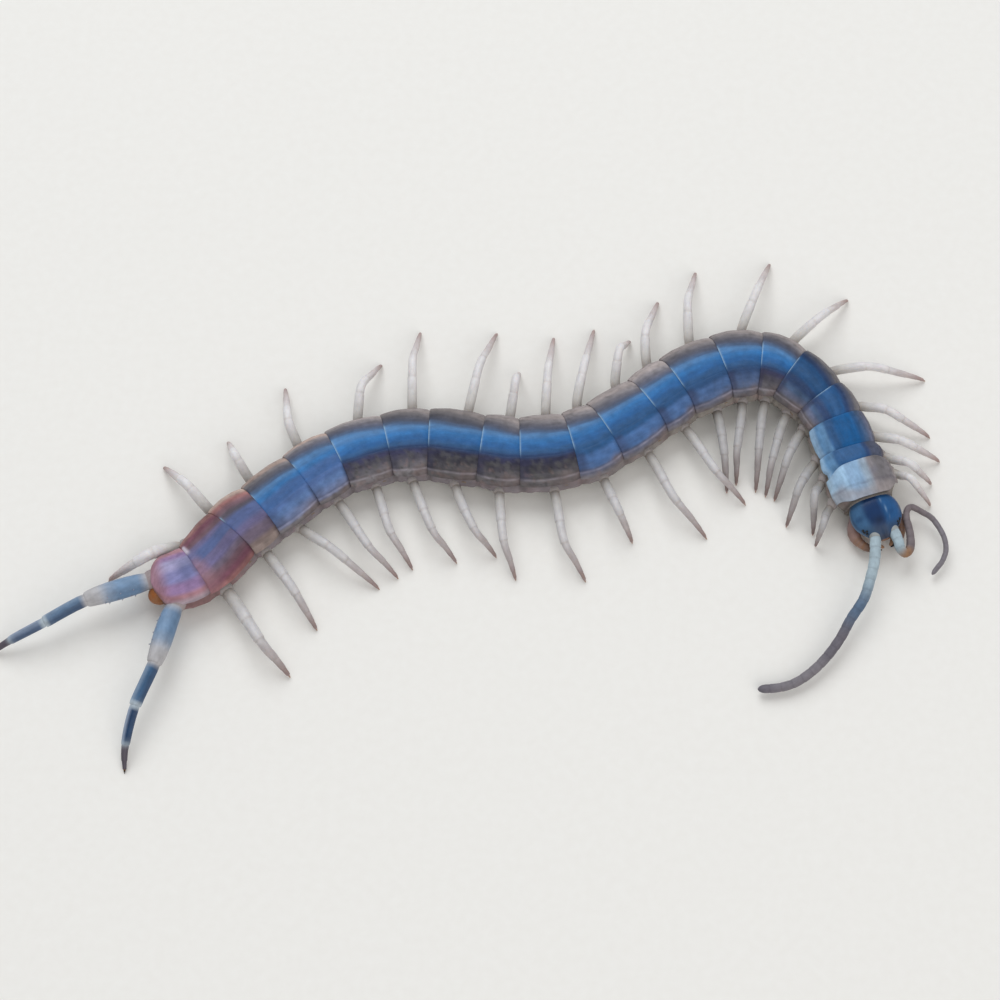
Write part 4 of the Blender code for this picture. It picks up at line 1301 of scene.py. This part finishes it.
def head_capsule():
    """Sides, lip and underside of the head, with the sockets of the antennae."""
    build = Build()
    sides = 48
    rings = []
    paints = []
    last = len(HEAD_STATIONS) - 1
    rows = 36
    for i in range(rows + 1):
        along, half, crown, margin, low = head_section(last * i / rows)
        side = [
            (0.5, crown - 0.3), (0.86, margin + 0.18), (0.93, margin - 0.12),
            (0.86, margin - 0.35 * (margin - low)), (0.72, low + 0.3 * (margin - low)), (0.42, low),
        ]
        left = [(-x, z) for x, z in reversed(side)]
        corners = [(0.0, crown - 0.22)] + side + [(0.0, low)] + left
        ring = []
        row = []
        for share, height in loop_points(corners, sides):
            point = head_place(along, share * half, height)
            point += Vector((0, 0, 0.03 * ripple(point, 0.4, 31.0)))
            ring.append(point)
            colour = mix(RUST, TAN, 0.45 + 0.4 * ripple(point, 0.8, 33.0))
            row.append(mix(colour, SHADOW_SKIN, 0.5 * smoothstep(2.2, 3.0, height)))
        rings.append(ring)
        paints.append(row)
    build.tube(rings, paints)
    for side in (1, -1):
        end, direction = antenna_root(side)
        steps = [(-1.4, 0.55), (-0.7, 0.62), (-0.25, 0.66), (-0.05, 0.66), (0.06, 0.60), (0.1, 0.45)]
        points = [end + direction * along for along, _ in steps]
        socket = round_rings(points, [r for _, r in steps], 20, direction, direction)
        build.tube(socket, [[mix(TAN, FEELER_PALE, 0.5)] * 20 for _ in steps])
    capsule = build.finish("head_capsule", FANG_SHELL)
    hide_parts("head")
    return capsule


def mouth_parts():
    """Plate between the poison claws with its small teeth, and two feeling palps."""
    build = Build()
    sides = 32
    steps = [(-0.5, 1.6), (0.2, 2.0), (1.2, 2.1), (2.2, 1.8), (3.0, 1.35), (3.5, 1.0), (3.75, 0.75)]
    rings = []
    for along, half in steps:
        corners = [(0, 1.9), (0.8, 1.7), (1.0, 1.3), (0.75, 0.85), (0, 0.72), (-0.75, 0.85), (-1.0, 1.3),
                   (-0.8, 1.7)]
        rings.append([head_place(along, x * half, z) for x, z in loop_points(corners, sides)])
    build.tube(rings, [[mix(RUST, AMBER, 0.4)] * sides for _ in rings])
    for side in (1, -1):
        for tooth in range(4):
            foot = head_place(3.72, side * (0.14 + 0.17 * tooth), 1.25)
            add_cone(build, foot, head_direction(1.0, 0.1 * side), 0.26, 0.085, AMBER, HORN)
        course = [head_place(3.2, 0.9 * side, 1.9), head_place(4.3, 1.05 * side, 2.0),
                  head_place(5.1, 0.75 * side, 1.9), head_place(5.5, 0.35 * side, 1.75)]
        fractions = [i / 14 for i in range(15)]
        radii = [0.30 - 0.13 * f + 0.02 * math.sin(3 * math.pi * f) ** 2 for f in fractions[:-1]] + [0.06]
        palp = round_rings(spread(course, fractions), radii, 14)
        build.tube(palp, [[mix(TAN, RUST, 0.4 * f)] * 14 for f in fractions])
    return build.finish("mouth_parts", FANG_SHELL)


def eyes():
    """Four small simple eyes on each side, just behind the antenna."""
    build = Build()
    sides = 14
    for side in (1, -1):
        for along, aside, height in ((3.55, 2.16, 3.22), (3.82, 1.93, 3.22), (3.62, 1.93, 3.48),
                                     (3.36, 2.28, 3.40)):
            middle = head_place(along, aside * side, height)
            way = (head_direction(0.35, 0.9 * side) + Vector((0, 0, 0.55))).normalized()
            steps = [(-0.12, 0.13), (-0.02, 0.145), (0.04, 0.13), (0.085, 0.09), (0.105, 0.04), (0.11, 0.01)]
            points = [middle + way * out for out, _ in steps]
            rings = round_rings(points, [r for _, r in steps], sides, way, way)
            build.tube(rings, [[srgb(14, 12, 16)] * sides for _ in steps])
    return build.finish("eyes", EYE_GLASS)


def poison_claw(word, side):
    end, direction = forcipule_root(side)
    course = [
        end, head_place(2.5, 2.75 * side, 1.4), head_place(3.5, 2.7 * side, 1.3),
        head_place(4.5, 2.15 * side, 1.3), head_place(5.2, 1.35 * side, 1.3),
        head_place(5.5, 0.5 * side, 1.3),
    ]
    stages = [
        (0.0, 0.64), (0.06, 0.70), (0.15, 0.74), (0.26, 0.73), (0.36, 0.68), (0.40, 0.60), (0.43, 0.60),
        (0.47, 0.57), (0.50, 0.51), (0.53, 0.53), (0.57, 0.50), (0.60, 0.47), (0.64, 0.49), (0.70, 0.44),
        (0.76, 0.38), (0.82, 0.31), (0.88, 0.24), (0.93, 0.17), (0.97, 0.10), (1.0, 0.03),
    ]
    sides = 24
    fractions = [fraction for fraction, _ in stages]
    points = [end - direction * 1.0, end - direction * 0.4] + spread(course, fractions)
    radii = [0.75, 0.72] + [radius for _, radius in stages]
    rings = round_rings(points, radii, sides, direction)
    paints = []
    for fraction, ring in zip([0.0, 0.0] + fractions, rings):
        colour = mix(FLANK_PINK, mix(TAN, RUST, 0.35), fraction)
        colour = mix(colour, HORN, smoothstep(0.62, 0.86, fraction))
        colour = mix(colour, AMBER, 0.5 * max(hill(fraction, 0.42, 0.015), hill(fraction, 0.505, 0.012),
                                              hill(fraction, 0.60, 0.012)))
        paints.append([mix(colour, TAN, 0.25 * max(0.0, ripple(p, 0.5, 17.0))) for p in ring])
    build = Build()
    build.tube(rings, paints)
    claw = build.finish("poison_claw_" + word, FANG_SHELL)
    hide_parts("forcipule_" + word)
    return claw


def antenna_colour(side, fraction):
    """Pale root, then blue and grey on the near antenna, brownish on the far one."""
    if side > 0:
        return band([(0.0, FEELER_PALE), (0.16, FEELER_PALE), (0.36, FEELER_BLUE), (0.52, FEELER_GREY),
                     (0.60, FEELER_GREY), (0.72, FEELER_ROSE), (0.88, FEELER_ROSE), (1.0, FEELER_GREY)],
                    fraction)
    return band([(0.0, FEELER_PALE), (0.10, FEELER_PALE), (0.15, FEELER_TAN), (0.22, FEELER_BROWN),
                 (0.5, FEELER_BROWN), (0.7, FEELER_ROSE), (1.0, FEELER_ROSE)], fraction)


def antenna(word, side, bends, taper):
    """Beaded antenna: each article is widest near its far end."""
    end, direction = antenna_root(side)
    course = [end] + [Vector(bend) for bend in bends]
    thick, slim, haste = taper
    swell = [(0.0, 0.93), (0.08, 0.96), (0.3, 0.99), (0.6, 1.0), (0.85, 1.0), (0.95, 0.97)]
    fractions = []
    radii = []
    for article in range(ANTENNA_ARTICLES):
        for inside, fullness in swell:
            fraction = (article + inside) / ANTENNA_ARTICLES
            tip = 1.0
            if article == ANTENNA_ARTICLES - 1:
                tip = math.sqrt(max(0.02, 1 - inside ** 3))
            fractions.append(fraction)
            radii.append((slim + (thick - slim) * (1 - fraction) ** haste) * fullness * tip)
    fractions.append(1.0)
    radii.append(0.08)
    sides = 20
    rings = round_rings(spread(course, fractions), radii, sides, direction)
    paints = []
    for fraction, ring in zip(fractions, rings):
        inside = (fraction * ANTENNA_ARTICLES) % 1
        colour = antenna_colour(side, fraction)
        colour = mix(colour, FEELER_DARK, 0.22 * max(hill(inside, 0.0, 0.09), hill(inside, 1.0, 0.05)))
        paints.append([mix(colour, FEELER_DARK, 0.2 * max(0.0, ripple(p, 0.4, 41.0))) for p in ring])
    build = Build()
    build.tube(rings, paints)
    feeler = build.finish(word + "_antenna", FEELER_SHELL)
    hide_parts("antenna_" + word)
    return feeler


# Stage

def make_floor():
    mesh = bpy.data.meshes.new("studio_floor")
    reach = 1.5
    mesh.from_pydata([(-reach, -reach, 0), (reach, -reach, 0), (reach, reach, 0), (-reach, reach, 0)],
                     [], [(0, 1, 2, 3)])
    mesh.materials.append(floor_material())
    floor = bpy.data.objects.new("studio_floor", mesh)
    bpy.context.scene.collection.objects.link(floor)


def add_light(name, place, size, watts, colour):
    data = bpy.data.lights.new(name, "AREA")
    data.shape = "DISK"
    data.size = size
    data.energy = watts
    data.color = colour
    lamp = bpy.data.objects.new(name, data)
    lamp.location = place
    lamp.rotation_euler = (-Vector(place)).to_track_quat("-Z", "Y").to_euler()
    bpy.context.scene.collection.objects.link(lamp)


def make_lights():
    add_light("soft_key", (-0.15, 0.60, 0.72), 0.80, 5.0, (0.93, 0.97, 1.0))
    add_light("soft_fill", (0.30, -0.60, 0.55), 0.80, 2.4, (1.0, 0.98, 0.96))
    world = bpy.data.worlds.new("studio_air")
    world.use_nodes = True
    background = world.node_tree.nodes["Background"]
    background.inputs["Color"].default_value = (0.94, 0.97, 1.0, 1.0)
    background.inputs["Strength"].default_value = 0.52
    bpy.context.scene.world = world


def make_camera():
    data = bpy.data.cameras.new("photo_camera")
    data.sensor_width = SENSOR_WIDTH
    data.lens = SENSOR_WIDTH * CAMERA_DISTANCE * PIXELS_PER_MILLIMETRE / PICTURE_WIDTH
    data.clip_start = 0.01
    data.clip_end = 10.0
    camera = bpy.data.objects.new("photo_camera", data)
    back = Vector((0, -math.cos(CAMERA_ELEVATION), math.sin(CAMERA_ELEVATION)))
    camera.location = (CENTRING + back * CAMERA_DISTANCE) * MILLIMETRE
    camera.rotation_euler = (math.pi / 2 - CAMERA_ELEVATION, 0, 0)
    bpy.context.scene.collection.objects.link(camera)
    bpy.context.scene.camera = camera
    bpy.context.scene.view_settings.view_transform = "Standard"


make_camera()
make_floor()
make_lights()
body_skin()
belly_plates()
spiracles()
last_belly_plate()
for number in range(1, SEGMENTS + 1):
    back_plate(number)
for facing, name, legs in ((1, "right", RIGHT_LEGS), (-1, "left", LEFT_LEGS)):
    for number, (knee_spot, foot_spot) in enumerate(legs, start=1):
        walking_leg(name, number, facing, knee_spot, foot_spot)
last_leg("right", 1, RIGHT_LAST_LEG)
last_leg("left", -1, LEFT_LAST_LEG)
head_capsule()
head_shield()
mouth_parts()
eyes()
poison_claw("right", 1)
poison_claw("left", -1)
antenna("right", 1, RIGHT_ANTENNA, RIGHT_ANTENNA_TAPER)
antenna("left", -1, LEFT_ANTENNA, LEFT_ANTENNA_TAPER)
